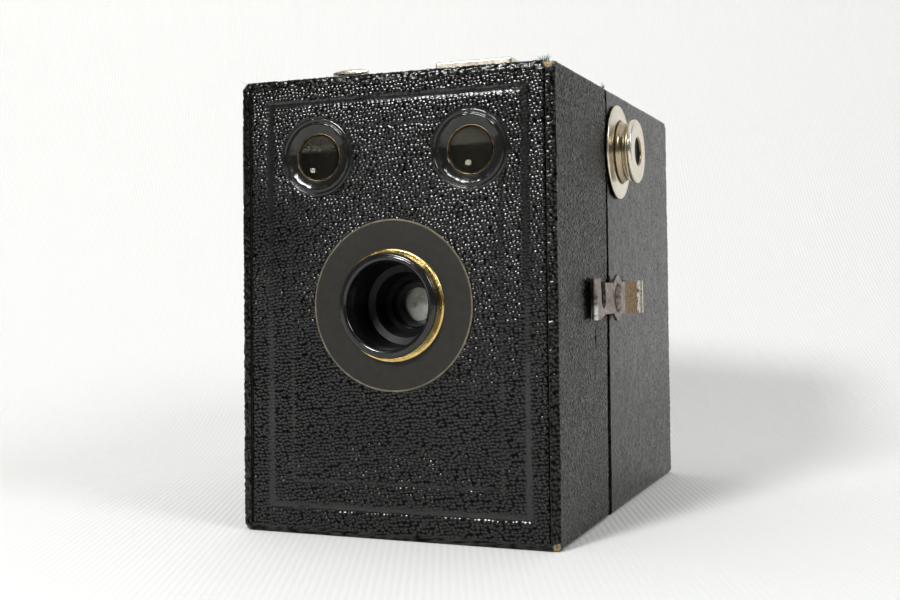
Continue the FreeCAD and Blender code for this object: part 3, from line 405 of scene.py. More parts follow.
MATS = {
    "board": paint("board_black", (0.012, 0.011, 0.010), (0.022, 0.02, 0.018), 0.75, 0.95, 500, 0.00006),
    "leatherette": leatherette("leatherette", (0.0088, 0.0086, 0.0084), 0.17, 0.27, 0.35),
    "leatherette_rear": leatherette("leatherette_rear", (0.0092, 0.0088, 0.0072), 0.2, 0.3, 0.35, 0.19),
    "leatherette_wrap": leatherette("leatherette_wrap", (0.0094, 0.0090, 0.0074), 0.18, 0.28, 0.35, 0.42),
    "surround": leatherette("leatherette_pressed", (0.006, 0.0058, 0.0055), 0.15, 0.24, 0.5),
    "cloth": paint("frayed_cloth", (0.012, 0.035, 0.036), (0.05, 0.10, 0.10), 0.8, 0.95, 2500),
    "cloth_black": paint("frayed_black", (0.01, 0.01, 0.01), (0.04, 0.04, 0.04), 0.8, 0.95, 2500),
    "cloth_thread": paint("waxed_thread", (0.02, 0.017, 0.013), (0.06, 0.05, 0.035), 0.5, 0.7, 2500),
    "cloth_pale": paint("stray_thread", (0.28, 0.27, 0.24), (0.4, 0.39, 0.35), 0.8, 0.95, 2500),
    "gilt": paint("gilt_dull", (0.045, 0.038, 0.022), (0.16, 0.135, 0.085), 0.35, 0.5, 500, 0.00001),
    "lip": metal("lip_brass_dark", (0.22, 0.165, 0.09), (0.05, 0.036, 0.02), 0.3, 0.45, 900),
    "finder_glass": glass("glass_yellowed", (0.86, 0.82, 0.66), 0.0),
    "strap_leather": leatherette("strap_leather", (0.018, 0.014, 0.011), 0.34, 0.52, 0.6, 0.4),
    "enamel": enamel("enamel_black"),
    "plate_black": paint("plate_satin_black", (0.0105, 0.0092, 0.0066), (0.018, 0.016, 0.0118), 0.36, 0.5,
                         900,
                         0.00001, 0.0, 0.3),
    "barrel": paint("barrel_dull_black", (0.003, 0.003, 0.003), (0.006, 0.006, 0.006), 0.35, 0.5, 600,
                    0.000006, 0.0, 0.12),
    "black_sheet": paint("sheet_matt_black", (0.010, 0.010, 0.010), (0.018, 0.017, 0.016), 0.5, 0.75, 300,
                         0.00002),
    "brass": metal("brass_worn", (0.83, 0.62, 0.24), (0.52, 0.34, 0.10), 0.16, 0.36, 420),
    "nickel": metal("nickel_dull", (0.80, 0.75, 0.64), (0.70, 0.64, 0.51), 0.20, 0.30, 160, 0.000006,
                    (0.50, 0.42, 0.28)),
    "latch_steel": rusty_latch("latch_tarnished"),
    "stud": metal("stud_browned", (0.10, 0.07, 0.055), (0.03, 0.02, 0.016), 0.3, 0.5, 900),
    "steel": metal("steel_plain", (0.50, 0.48, 0.45), (0.34, 0.32, 0.30), 0.25, 0.45, 300),
    "glass": glass("glass_clear", (0.93, 0.96, 0.93), 0.0),
    "ground_glass": glass("glass_ground", (0.86, 0.88, 0.85), 0.45),
    "mirror": metal("mirror_silvered", (0.42, 0.40, 0.34), (0.32, 0.30, 0.25), 0.08, 0.16, 150, 0.000002),
    "red_glass": glass("red_celluloid", (0.5, 0.02, 0.01), 0.05),
    "spool_steel": paint("spool_black", (0.010, 0.010, 0.010), (0.02, 0.02, 0.02), 0.28, 0.5, 350, 0.00001,
                         0.3),
    "wood": wood("plain_wood"),
}
slot_of = {s["node"]: s["material_slot"] for s in frame["record"]["subparts"]}


def layer(obj, name, values):
    """A value per vertex for the material to read."""
    obj.data.attributes.new(name, "FLOAT", "POINT").data.foreach_set("value", np.asarray(values, np.float32))


def dress(obj, material):
    obj.data.materials.clear()
    obj.data.materials.append(material)


OTHER = {"lens_cell": "barrel", "lens_retaining_ring": "barrel", "latch_stud": "stud"}
for node, obj in NODES.items():
    dress(obj, MATS[OTHER.get(node, slot_of[node])])
    obj.data.polygons.foreach_set("use_smooth", [True] * len(obj.data.polygons))
    if len(obj.data.polygons) < 30000:
        bevel = obj.modifiers.new("edges", "BEVEL")
        bevel.width = 0.00012
        bevel.segments = 2
        bevel.limit_method = "ANGLE"
        bevel.angle_limit = math.radians(40)
        bevel.harden_normals = True


# ---- leatherette on the face ---------------------------------------------------------------------
def steps(a, b, size, marks=()):
    """Sample places from a to b about size apart, with every mark among them."""
    out = [a]
    for mark in sorted(m for m in marks if a < m < b) + [b]:
        count = max(1, int(round((mark - out[-1]) / size)))
        out += list(out[-1] + (mark - out[-1]) * np.arange(1, count + 1) / count)
    return np.array(out)


def band(distance, half_width, edge):
    """1 inside a pressed band, falling to 0 over its edge."""
    return 1 - smooth(half_width - edge, half_width + edge, np.abs(distance))


def frame_distance(x, z, half_w, z0, z1):
    """Signed distance from a pressed rectangle, turned a hair as the real one is."""
    z = z - 0.006 * (x - GROOVE_X)
    return np.maximum(np.abs(x - GROOVE_X) - half_w, np.maximum(z0 - z, z - z1))


def face_sheet():
    x0, x1, z0, z1 = PANEL_X - 36.9, PANEL_X + 36.8, 0.9, 105.8
    xs = steps(x0, x1, 0.19)
    zs = steps(z0, z1, 0.19)
    x, z = np.meshgrid(xs, zs)
    grain = pebbles(x + 200, z + 200, 0.98, 11)
    edge = np.minimum(np.minimum(x - x0, x1 - x), np.minimum(z - z0, z1 - z))
    big = frame_distance(x, z, 31.8, 6.6, 100.8)
    small = frame_distance(x, z, 26.0, 12.45, 94.5)
    outer = band(big, 0.72, 0.42) * (0.85 + 0.3 * noise(x, z, 61, 6.0))
    inner = band(small, 0.34, 0.32) * (0.7 + 0.5 * noise(x, z, 62, 5.0))
    near_groove = np.maximum(band(big, 1.4, 0.6), band(small, 0.8, 0.5))
    ring = np.zeros(x.shape)
    cut = np.hypot(x - PANEL_X, z - LENS_Z) < 16
    for cx in FINDER_X:
        r = np.hypot(x - cx, z - FINDER_Z)
        ring = np.maximum(ring, 1 - smooth(9.0, 9.8, r))
        cut |= r < 8.62
    flat = np.clip(np.maximum(np.maximum(outer * 0.85, inner * 0.6), ring * 0.8) + 0.12 * near_groove, 0, 0.9)
    swell = 0.06 * noise(x, z, 5, 11.0) + 0.035 * noise(x, z, 6, 3.2)
    tall = 0.85 + 0.3 * noise(x, z, 8, 14.0)
    lift = GRAIN * tall * grain * (1 - flat) + swell * (1 - ring) - 0.12 * outer - 0.05 * inner
    lift = lift - 0.45 * (1 - smooth(0.0, 0.8, edge)) ** 2
    y = FRONT_Y + 0.05 - lift
    verts = np.stack([x, y, z], -1).reshape(-1, 3)
    faces = grid_faces(len(zs), len(xs))
    faces = faces[~cut.reshape(-1)[faces].any(1)]
    used = np.zeros(len(verts), bool)
    used[faces.reshape(-1)] = True
    index = np.cumsum(used) - 1
    obj = make("face_sheet", verts[used], index[faces], "front_half", ("front_covering",))
    # Painted shade in the valleys of the grain, less on the pressed bands and finder rings.
    layer(obj, "hollow_shade", (hollows(grain) * (1 - 0.9 * flat)).reshape(-1)[used])
    dress(obj, MATS["leatherette"])
    return obj


def lathe(name, profile, centre, axis, body, replaces=(), segments=128, phase=0.0, uneven=0.0):
    """Turned piece. The profile is a closed list of (along axis, radius) in millimetres."""
    angles = np.linspace(0, 2 * math.pi, segments, endpoint=False) + phase
    turn = Vector((0, 0, 1)).rotation_difference(Vector(axis)).to_matrix()
    rows = []
    for along, radius in profile:
        wave = uneven * noise(radius * np.cos(angles) + 50, radius * np.sin(angles) + 50, 77, 1.1)
        pts = np.stack([radius * np.cos(angles), radius * np.sin(angles), along + wave], -1)
        rows.append(pts @ np.array(turn).T + np.array(centre))
    verts = np.concatenate(rows)
    hollow_core = profile[0][1] > 0 and profile[-1][1] > 0
    closed = [*range(len(profile)), 0] if hollow_core else list(range(len(profile)))
    faces = []
    for a, b in zip(closed[:-1], closed[1:]):
        for k in range(segments):
            n = (k + 1) % segments
            faces.append([a * segments + k, a * segments + n, b * segments + n, b * segments + k])
    obj = make(name, verts, faces, body, replaces)
    b = bmesh.new()
    b.from_mesh(obj.data)
    bmesh.ops.remove_doubles(b, verts=b.verts, dist=1e-7)
    bmesh.ops.dissolve_degenerate(b, edges=b.edges, dist=1e-8)
    bmesh.ops.recalc_face_normals(b, faces=b.faces)
    b.to_mesh(obj.data)
    b.free()
    obj.data.polygons.foreach_set("use_smooth", [True] * len(obj.data.polygons))
    return obj


def finder_surround(name, cx):
    """The pressed ring and dish round a finder lens: (depth behind the face, radius)."""
    profile = [(0.45, 9.5), (0.12, 9.3), (-0.02, 9.1), (-0.10, 8.9), (-0.09, 8.7), (0.02, 8.55), (0.16, 8.42),
               (0.22, 8.3), (0.14, 8.15), (0.0, 8.0), (-0.05, 7.8), (-0.02, 7.5), (0.10, 7.1), (0.27, 6.7),
               (0.46, 6.3),
               (0.64, 5.95), (0.80, 5.7), (1.0, 5.55), (1.3, 5.5), (1.34, 5.7), (0.9, 6.9), (0.6, 8.4)]
    obj = lathe(name, profile, (cx, FRONT_Y, FINDER_Z), (0, 1, 0), "front_half", (), 220,
                0.0, 0.06)
    dress(obj, MATS["surround"])
    lip = [(0.86, 5.62), (0.98, 5.42), (1.12, 5.2), (1.28, 5.08), (1.42, 5.06), (1.46, 5.2), (1.46, 5.62)]
    obj = lathe(name + "_lip", lip, (cx, FRONT_Y, FINDER_Z), (0, 1, 0), "front_half", (), 96,
                0.0, 0.03)
    dress(obj, MATS["lip"])


def knob():
    """The winding key's turned grip: shallow waist, thick rim, flat face with a pit in it; the pit is lined
    with painted shade.
    """
    profile = [(0.85, 3.0), (-0.22, 3.0), (-0.22, 7.6), (-0.1, 7.82), (0.15, 7.8), (0.5, 7.55), (0.9, 7.32),
               (1.3, 7.2),
               (1.7, 7.22), (2.05, 7.4), (2.35, 7.7), (2.6, 7.98), (2.85, 8.1), (3.2, 8.17), (3.6, 8.14),
               (3.9, 8.02),
               (4.05, 7.8), (4.1, 7.55), (4.1, 7.2), (4.1, 4.3), (4.09, 3.95), (4.0, 3.65), (3.8, 3.48),
               (3.2, 3.45),
               (3.2, 0.4)]
    obj = lathe("knob_grip", profile, (HALF_W + 1.8, KEY_Y, KEY_Z), (1, 0, 0), "winding_key",
                ("winding_knob",),
                160)
    count = len(obj.data.vertices)
    at = np.empty(3 * count)
    obj.data.vertices.foreach_get("co", at)
    x = at.reshape(-1, 3)[:, 0] / MM - HALF_W - 1.8
    r = np.hypot(at.reshape(-1, 3)[:, 1] / MM - KEY_Y, at.reshape(-1, 3)[:, 2] / MM - KEY_Z)
    layer(obj, "tarnish", np.maximum(0.75 * (1 - smooth(1.4, 2.5, x)), 1 - smooth(3.6, 3.95, r)))
    dress(obj, MATS["nickel"])
    # Dull black lining on the floor and wall of the pit: painted shade, standing for the dark of a deep hole.
    pit = [(3.26, 0.0), (3.26, 3.44), (3.7, 3.46), (3.7, 3.38), (3.34, 3.3), (3.34, 0.0)]
    obj = lathe("knob_hollow", pit, (HALF_W + 1.8, KEY_Y, KEY_Z), (1, 0, 0), "winding_key", (), 96)
    dress(obj, MATS["barrel"])
    dark_ring = [(1.47, 7.75), (1.5, 7.8), (1.5, 8.15), (1.47, 8.25), (1.4, 8.25), (1.4, 7.75)]
    obj = lathe("flange_grime", dark_ring, (HALF_W, KEY_Y, KEY_Z), (1, 0, 0), "rear_half", (), 120)
    dress(obj, MATS["lip"])


def strand(places, thick):
    """Vertices and faces of a short thread through the given places, in millimetres."""
    rings = []
    for k, place in enumerate(places):
        ahead = Vector(places[min(k + 1, len(places) - 1)]) - Vector(places[max(k - 1, 0)])
        turn = Vector((0, 0, 1)).rotation_difference(ahead.normalized()).to_matrix()
        size = thick * (1 - 0.6 * k / (len(places) - 1))
        rings += [Vector(place) + turn @ Vector((size * math.cos(a), size * math.sin(a), 0))
                  for a in np.linspace(0, 2 * math.pi, 5, endpoint=False)]
    faces = grid_faces(len(places), 5, True)
    return [tuple(v) for v in rings], faces


def tuft(name, body, material, root, spread, heading, length, count, thick, seed):
    """Frayed cloth: fine curling threads from a worn edge."""
    rng = np.random.default_rng(seed)
    verts = []
    faces = []
    for k in range(count):
        start = np.array(root) + rng.uniform(-1, 1, 3) * spread
        way = np.array(heading) + rng.normal(0, 0.45, 3)
        way /= np.linalg.norm(way)
        curl = rng.normal(0, 0.5, 3)
        reach = length * rng.uniform(0.35, 1.0)
        places = [start + reach * (t * way + 0.5 * t * t * curl) for t in np.linspace(0, 1, 6)]
        ring, quads = strand(places, thick * rng.uniform(0.6, 1.2))
        faces.append(quads + len(verts))
        verts += ring
    obj = make(name, verts, np.concatenate(faces), body)
    dress(obj, MATS[material])


def disc_rim():
    """Thin line of dull gilt round the edge of the face disc."""
    line = [(-0.36, 19.28), (-0.385, 19.36), (-0.385, 19.55), (-0.34, 19.68), (-0.2, 19.7), (-0.2, 19.3)]
    obj = lathe("disc_gilt_line", line, (PANEL_X, FRONT_Y, LENS_Z), (0, 1, 0), "front_half", (), 160)
    dress(obj, MATS["gilt"])


def finder_glass(name, centre, axis):
    """Finder lens with its flat side outwards, so a lamp shows low in it."""
    profile = [(0.0, 0.0), (0.0, 3.0), (0.0, 6.1), (0.0, 6.2), (0.04, 6.34), (0.12, 6.4), (0.45, 6.4),
               (0.55, 6.4)]
    profile += [(1.6 - 20.0 + math.sqrt(400.0 - r * r), r) for r in np.linspace(6.39, 0.0, 14)]
    obj = lathe(name + "_glass", profile, centre, axis, "front_half", (name,), 96)
    dress(obj, MATS["finder_glass"])


# ---- leatherette round the box -------------------------------------------------------------------
def section(side_step, marks_z=()):
    """Loop round the box's section, seen from the front: places, outward normals and distance along it."""
    right, top, left, bottom = side_step
    r = EDGE_R
    pts = []
    nrm = []
    corners = [((HALF_W - r, r), -90), ((HALF_W - r, HEIGHT - r), 0), ((-HALF_W + r, HEIGHT - r), 90),
               ((-HALF_W + r, r), 180)]
    runs = []
    z_run = steps(r, HEIGHT - r, right, marks_z)
    runs.append(([(HALF_W, z) for z in z_run], (1, 0)))
    x_run = steps(-HALF_W + r, HALF_W - r, top)[::-1]
    runs.append(([(x, HEIGHT) for x in x_run], (0, 1)))
    z_run = steps(r, HEIGHT - r, left, marks_z)[::-1]
    runs.append(([(-HALF_W, z) for z in z_run], (-1, 0)))
    x_run = steps(-HALF_W + r, HALF_W - r, bottom)
    runs.append(([(x, 0.0) for x in x_run], (0, -1)))
    for k, (places, normal) in enumerate(runs):
        (cx, cz), start = corners[k]
        for a in np.radians(start + np.array([18, 36, 54, 72])):
            pts.append((cx + r * math.cos(a), cz + r * math.sin(a)))
            nrm.append((math.cos(a), math.sin(a)))
        pts += places
        nrm += [normal] * len(places)
    pts = np.array(pts)
    nrm = np.array(nrm)
    step = np.hypot(*np.diff(pts, axis=0, append=pts[:1]).T)
    along = np.concatenate([[0], np.cumsum(step)[:-1]])
    return pts, nrm, along


def skin(name, body, replaces, side_step, rows, amplitude, seed, pitch, holes, mouth, material, worn=(),
         marks_z=(), dents=()):
    """Covering of one half. Each row is (y, inset of the section, how far the normal leans along y)."""
    pts, nrm, along = section(side_step, marks_z)
    count = len(pts)
    verts = []
    wear_rows = []
    hollow_rows = []
    travel = 0.0
    last = None
    for y0, inset, lean in rows:
        y = mouth(np.full(count, float(y0)), pts[:, 1], along)
        if last is not None:
            travel += math.hypot(y0 - last[0], inset - last[1])
        last = (y0, inset)
        base = pts - nrm * inset
        grain = pebbles(along + 40, np.full(count, travel) + 60, pitch, seed)
        swell = 0.05 * noise(along, y + 300, seed + 1, 11.0) + 0.03 * noise(along, y + 300, seed + 2, 3.5)
        wear = np.zeros(count)
        for (wx, wy, wz), radius in worn:
            d = np.sqrt((base[:, 0] - wx) ** 2 + (y - wy) ** 2 + (base[:, 1] - wz) ** 2)
            wear = np.maximum(wear, 1 - smooth(0.25 * radius, radius, d))
        lift = amplitude * grain * (1 - 0.8 * wear) + swell - 0.30 * smooth(0.3, 0.8, wear)
        for (dx, dy, dz), (ry, rz), depth in dents:
            d = np.sqrt(((y - dy) / ry) ** 2 + ((base[:, 1] - dz) / rz) ** 2 + ((base[:, 0] - dx) / 2.0) ** 2)
            lift = lift - depth * np.exp(-d * d)
        c = math.cos(lean)
        s = math.sin(lean)
        lift = lift + 0.04
        lift = np.where(nrm[:, 1] < -0.3, np.minimum(lift, 0.0), lift)
        verts.append(np.stack([base[:, 0] + nrm[:, 0] * lift * c, y + s * lift,
                               base[:, 1] + nrm[:, 1] * lift * c], -1))
        wear_rows.append(wear)
        # Painted shade in the valleys of the grain, none where the covering is worn through.
        hollow_rows.append(hollows(grain) * (1 - wear))
    outer = len(rows)
    inner = pts - nrm * 0.5
    first_y = mouth(np.full(count, rows[0][0]), pts[:, 1], along)
    verts.append(np.stack([inner[:, 0], first_y, inner[:, 1]], -1))
    allv = np.concatenate(verts)
    faces = grid_faces(outer, count, True)
    centres = allv[faces].mean(1)
    drop = np.zeros(len(faces), bool)
    for x0, x1, y0, y1, z0, z1 in holes:
        drop |= ((centres[:, 0] > x0) & (centres[:, 0] < x1) & (centres[:, 1] > y0) & (centres[:, 1] < y1)
                 & (centres[:, 2] > z0) & (centres[:, 2] < z1))
    faces = faces[~drop]
    hem = [[outer * count + k, outer * count + (k + 1) % count, (k + 1) % count, k] for k in range(count)]
    faces = np.concatenate([faces, np.array(hem)])
    obj = make(name, allv, faces, body, replaces)
    wear = np.concatenate(wear_rows + [np.zeros(count)])
    layer(obj, "wear", wear)
    # The last row, on the cut edge inside the mouth, is wholly darkened as painted shade.
    layer(obj, "hollow_shade", np.concatenate(hollow_rows + [np.ones(count)]))
    b = bmesh.new()
    b.from_mesh(obj.data)
    loose = [v for v in b.verts if not v.link_faces]
    bmesh.ops.delete(b, geom=loose, context="VERTS")
    bmesh.ops.recalc_face_normals(b, faces=b.faces)
    b.to_mesh(obj.data)
    b.free()
    obj.data.polygons.foreach_set("use_smooth", [True] * len(obj.data.polygons))
    dress(obj, MATS[material])
    return obj


def edge_rows(y_edge, sign, strip):
    """Rows over the soft edge at y_edge and in over the end face; sign is +1 at the back, -1 at the front."""
    rows = []
    for a in np.radians([8, 16, 26, 38, 50, 62, 74, 90]):
        lean = math.atan2(math.sin(a) * EDGE_IN, math.cos(a) * EDGE_BACK)
        rows.append((y_edge - sign * EDGE_BACK * (1 - math.sin(a)), EDGE_IN * (1 - math.cos(a)), sign * lean))
    rows += [(y_edge, EDGE_IN + d, sign * math.pi / 2) for d in strip]
    return rows


def front_mouth(y, z, along):
    """The front half's slanted rear edge, a little ragged."""
    edge = SEAM_BASE_Y + (SEAM_TOP_Y - SEAM_BASE_Y) * z / HEIGHT + 0.12 * noise(along, 0 * along, 51, 2.6)
    share = np.clip((y - FRONT_Y - EDGE_BACK) / (SEAM_BASE_Y - FRONT_Y - EDGE_BACK), 0, 1)
    return y + (edge - SEAM_BASE_Y) * share


def rear_mouth(y, z, along):
    ragged = 0.15 * noise(along, 0 * along, 52, 3.4)
    share = np.clip((BACK_Y - EDGE_BACK - y) / (BACK_Y - EDGE_BACK - MOUTH_Y), 0, 1)
    return y + ragged * share ** 6


def front_skin():
    ys = steps(FRONT_Y + EDGE_BACK, SEAM_BASE_Y, 0.25, (-45.7, -43.9, -55.2, -36.2))[::-1]
    rows = [(y, 0.0, 0.0) for y in ys]
    rows += edge_rows(FRONT_Y, -1, [0.3])
    holes = [(12.2, 25.9, -55.2, -36.2, 105, 108), (-40, -38, -55.2, -36.2, 81.0, 95.0),
             (-40, -38, -45.7, -43.9, 21.5, 34.0)]
    worn = [((HALF_W - 1.15, FRONT_Y + 0.3, HEIGHT - 0.2), 2.3), ((HALF_W - 0.5, FRONT_Y + 0.3, 0.7), 2.0),
            ((-HALF_W + 0.3, FRONT_Y + 0.4, 0.4), 1.4), ((-HALF_W + 0.3, FRONT_Y + 0.4, HEIGHT - 0.3), 1.2),
            ((HALF_W, SEAM_TOP_Y - 0.6, HEIGHT), 1.2)]
    dents = [((HALF_W, -28.0, 44.5), (0.5, 2.2), 0.35)]
    return skin("front_wrap_skin", "front_half", ("front_wrap",), (0.25, 0.40, 0.42, 1.4), rows,
                1.3 * GRAIN, 21, 1.05,
                holes, front_mouth, "leatherette_wrap", worn, (21.5, 34.0, 81.0, 95.0), dents)


def rear_skin():
    ys = steps(MOUTH_Y, BACK_Y - EDGE_BACK, 0.48)
    rows = [(y, 0.0, 0.0) for y in ys]
    rows += edge_rows(BACK_Y, 1, [0.3, 0.6, 0.9, 1.05])
    worn = [((HALF_W - 0.4, BACK_Y - 0.5, HEIGHT - 0.4), 1.6), ((-HALF_W + 0.4, BACK_Y - 0.5, 0.4), 1.6)]
    return skin("rear_wrap_skin", "rear_half", ("rear_wrap",), (0.36, 0.55, 0.55, 1.6), rows, 0.75 * GRAIN,
                31, 1.1, [],
                rear_mouth, "leatherette_rear", worn)


def back_sheet():
    x0, x1, z0, z1 = -35.95, 35.95, 3.05, 103.45
    xs = steps(x0, x1, 0.30)
    zs = steps(z0, z1, 0.30)
    x, z = np.meshgrid(xs, zs)
    grain = pebbles(x + 300, z + 100, 1.02, 41)
    edge = np.minimum(np.minimum(x - x0, x1 - x), np.minimum(z - z0, z1 - z))
    lift = 0.17 * grain + 0.05 * noise(x, z, 7, 9.0) - 0.25 * (1 - smooth(0.0, 0.8, edge)) ** 2
    y = BACK_Y - 0.1 + lift
    verts = np.stack([x, y, z], -1).reshape(-1, 3)
    faces = grid_faces(len(zs), len(xs))
    centre = verts[faces].mean(1)
    faces = faces[np.hypot(centre[:, 0] - WINDOW[0], centre[:, 2] - WINDOW[1]) > WINDOW_CUT][:, ::-1]
    obj = make("back_sheet_skin", verts, faces, "rear_half", ("back_covering",))
    # Painted shade in the valleys of the grain.
    layer(obj, "hollow_shade", hollows(grain).reshape(-1))
    dress(obj, MATS["leatherette"])
    return obj


def strap_line(count):
    """Middle line of the carrying strap as (y, z, lean): flat ends and a low arch between them."""
    reach, rise, thick, end = 25.0, 6.5, 1.6, 33.5
    radius = (reach ** 2 + rise ** 2) / (4 * rise)
    half = math.asin(reach / 2 / radius)
    base = HEIGHT + thick / 2
    flat = end - reach
    run = 2 * flat + 4 * radius * half
    out = []
    for t in np.linspace(0, run, count):
        s = abs(t - run / 2)
        sign = 1 if t >= run / 2 else -1
        if s <= radius * half:
            a = s / radius
            y, z = radius * math.sin(a), base + rise - radius + radius * math.cos(a)
        elif s <= 2 * radius * half:
            a = 2 * half - s / radius
            y, z = reach - radius * math.sin(a), base + radius - radius * math.cos(a)
        else:
            a = 0.0
            y, z = s - 2 * radius * half + reach, base
        out.append((STRAP_Y + sign * y, z, -sign * a, s))
    return out


def strap():
    """Leather strip with rounded sides, creases over the arch and a stitched line each side."""
    half_w, half_t, r = 4.42, 0.74, 0.5
    turn = np.radians([25, 50, 75])
    corner = [(half_w - r * (1 - math.sin(a)), half_t - r * (1 - math.cos(a))) for a in turn]
    right = corner + [(half_w, 0.0)] + [(x, -z) for x, z in corner[::-1]]
    top = [(x, half_t) for x in np.linspace(-half_w + r, half_w - r, 44)]
    under = [(-x, -z) for x, z in top[::4] + top[-1:]]
    loop = top + right + under + [(-x, -z) for x, z in right]
    lx = np.array([x for x, z in loop])
    lz = np.array([z for x, z in loop])
    nx = np.where(np.abs(lx) > half_w - r, np.sign(lx) * np.clip((np.abs(lx) - half_w + r) / r, 0, 1), 0)
    nz = np.sign(lz) * np.sqrt(np.clip(1 - nx * nx, 0, 1))
    upper = (lz > 0.2).astype(float)
    verts = []
    hollow_shade = []
    wear = []
    for y, z, lean, s in strap_line(STRAP_ROWS):
        along = np.full(len(loop), y * 1.0)
        grain = pebbles(lx + 500, along + 500, 0.55, 91)
        stitch = band(np.abs(lx) - STITCH_X, 0.16, 0.08) * upper
        crease = np.clip(noise(along * 1.0, lx * 0.12, 92, 0.9) - 0.35, 0, 1) * upper * (0.4 + 0.6 * (s < 20))
        lift = 0.05 * grain - 0.12 * stitch - 0.10 * crease
        dy, dz = -math.sin(lean), math.cos(lean)
        off = lz + nz * lift
        verts.append(np.stack([lx + nx * 0.04 * grain, y + dy * off, z + dz * off], -1))
        # Painted shade in the valleys of the grain, in the stitch grooves and in the creases.
        hollow_shade.append(np.clip(0.35 * hollows(grain) + 0.8 * stitch + 0.6 * crease, 0, 1))
        wear.append(np.zeros(len(loop)))
    n = len(loop)
    faces = grid_faces(STRAP_ROWS, n, True).tolist()
    faces += [list(range(n))[::-1], [(STRAP_ROWS - 1) * n + k for k in range(n)]]
    obj = make("strap_strip", np.concatenate(verts), faces, "rear_half", ("strap",))
    layer(obj, "hollow_shade", np.concatenate(hollow_shade))
    layer(obj, "wear", np.concatenate(wear))
    dress(obj, MATS["strap_leather"])
    threads = []
    quads = []
    line = strap_line(1200)
    for side in (-STITCH_X, STITCH_X):
        k = 24
        while k < 1170:
            places = []
            for j in range(k, k + 17, 4):
                y, z, lean, s = line[j]
                up = half_t - 0.10 + 0.13 * math.sin(math.pi * (j - k) / 16)
                places.append((side, y - math.sin(lean) * up, z + math.cos(lean) * up))
            ring, q = strand(places, 0.14)
            quads.append(q + len(threads))
            threads += ring
            k += 27
    obj = make("strap_thread", threads, np.concatenate(quads), "rear_half")
    dress(obj, MATS["cloth_thread"])


strap()
face_sheet()
for side, cx in zip(("left", "right"), FINDER_X):
    finder_surround("finder_surround_" + side, cx)
finder_glass("sideways_finder_lens", (FINDER_X[0], FRONT_Y + 0.95, FINDER_Z), (0, 1, 0))
finder_glass("upright_finder_lens", (FINDER_X[1], FRONT_Y + 0.95, FINDER_Z), (0, 1, 0))
disc_rim()
knob()
tuft("fray_corner_top", "front_half", "cloth", (36.9, -58.6, 106.45), (1.1, 0.5, 0.15), (-0.15, -0.1, 1),
     1.7, 34, 0.06, 3)
tuft("fray_corner_right", "front_half", "cloth", (38.5, -58.9, 105.2), (0.35, 0.2, 0.7), (0.6, -0.5, 0.2),
     0.9, 16, 0.05, 4)
tuft("fray_corner_low", "front_half", "cloth", (38.3, -58.9, 1.3), (0.5, 0.2, 0.5), (0.3, -0.6, 0.3), 0.8,
     14, 0.05, 5)
tuft("fray_seam", "front_half", "cloth_black", (38.6, -15.7, 106.45), (0.4, 0.4, 0.1), (0.1, -0.3, 1), 1.3,
     16, 0.05, 6)
tuft("stray_fibre", "front_half", "cloth_pale", (-38.0, -58.7, 106.5), (0.2, 0.2, 0.1), (-0.75, 0, 0.7),
     3.0, 3, 0.035, 8)
front_skin()
rear_skin()
back_sheet()


# ---- floor, backdrop, light, camera --------------------------------------------------------------
def ribbed_floor():
    """Pale sheet with fine ribs, curving up behind as a backdrop; clear when seen from its back."""
    reach = 2.2
    heading = math.radians(90.0 - SHEET_TURN)
    back = 0.07
    radius = 0.30
    profile = [(-2.0, 0.0), (-0.3, 0.0), (back, 0.0)]
    for a in np.linspace(0, math.pi / 2, 40)[1:]:
        profile.append((back + radius * math.sin(a), radius * (1 - math.cos(a))))
    profile.append((back + radius, 2.4))
    verts = []
    for t, z in profile:
        for s in (-reach, reach):
            x = -math.cos(heading) * t + math.sin(heading) * s
            y = math.sin(heading) * t + math.cos(heading) * s
            verts.append((x, y, z - 0.00002))
    mesh = bpy.data.meshes.new("floor")
    mesh.from_pydata(verts, [], grid_faces(len(profile), 2).tolist())
    mesh.polygons.foreach_set("use_smooth", [True] * len(mesh.polygons))
    obj = bpy.data.objects.new("floor", mesh)
    scene.collection.objects.link(obj)
    m = Mat("pale_ribbed_paper")
    turn = m.n.new("ShaderNodeMapping")
    turn.inputs["Rotation"].default_value = (0, 0, math.radians(-SHEET_TURN))
    m.link(m.coord.outputs["Object"], turn.inputs["Vector"])
    wave = m.n.new("ShaderNodeTexWave")
    wave.wave_type = "BANDS"
    wave.bands_direction = "X"
    wave.inputs["Scale"].default_value = 1000.0 / RIB_PITCH / 20.0 * 2 * math.pi
    m.link(turn.outputs["Vector"], wave.inputs["Vector"])
    m.normal(m.bump(wave.outputs["Fac"], 0.00018, 0.35))
    m.set(Base_Color=(0.845, 0.85, 0.84), Roughness=0.8)
    side = m.n.new("ShaderNodeNewGeometry")
    clear = m.n.new("ShaderNodeBsdfTransparent")
    either = m.n.new("ShaderNodeMixShader")
    m.link(side.outputs["Backfacing"], either.inputs["Fac"])
    m.link(m.p.outputs["BSDF"], either.inputs[1])
    m.link(clear.outputs["BSDF"], either.inputs[2])
    m.link(either.outputs["Shader"], m.n["Material Output"].inputs["Surface"])
    mesh.materials.append(m.m)


def area(name, at, aim, size, power, colour=(1, 1, 1), shape="DISK"):
    light = bpy.data.lights.new(name, "AREA")
    light.shape = shape
    light.size = size
    light.energy = power
    light.color = colour
    obj = bpy.data.objects.new(name, light)
    obj.location = at
    obj.rotation_euler = (Vector(aim) - Vector(at)).to_track_quat("-Z", "Y").to_euler()
    scene.collection.objects.link(obj)
    return obj


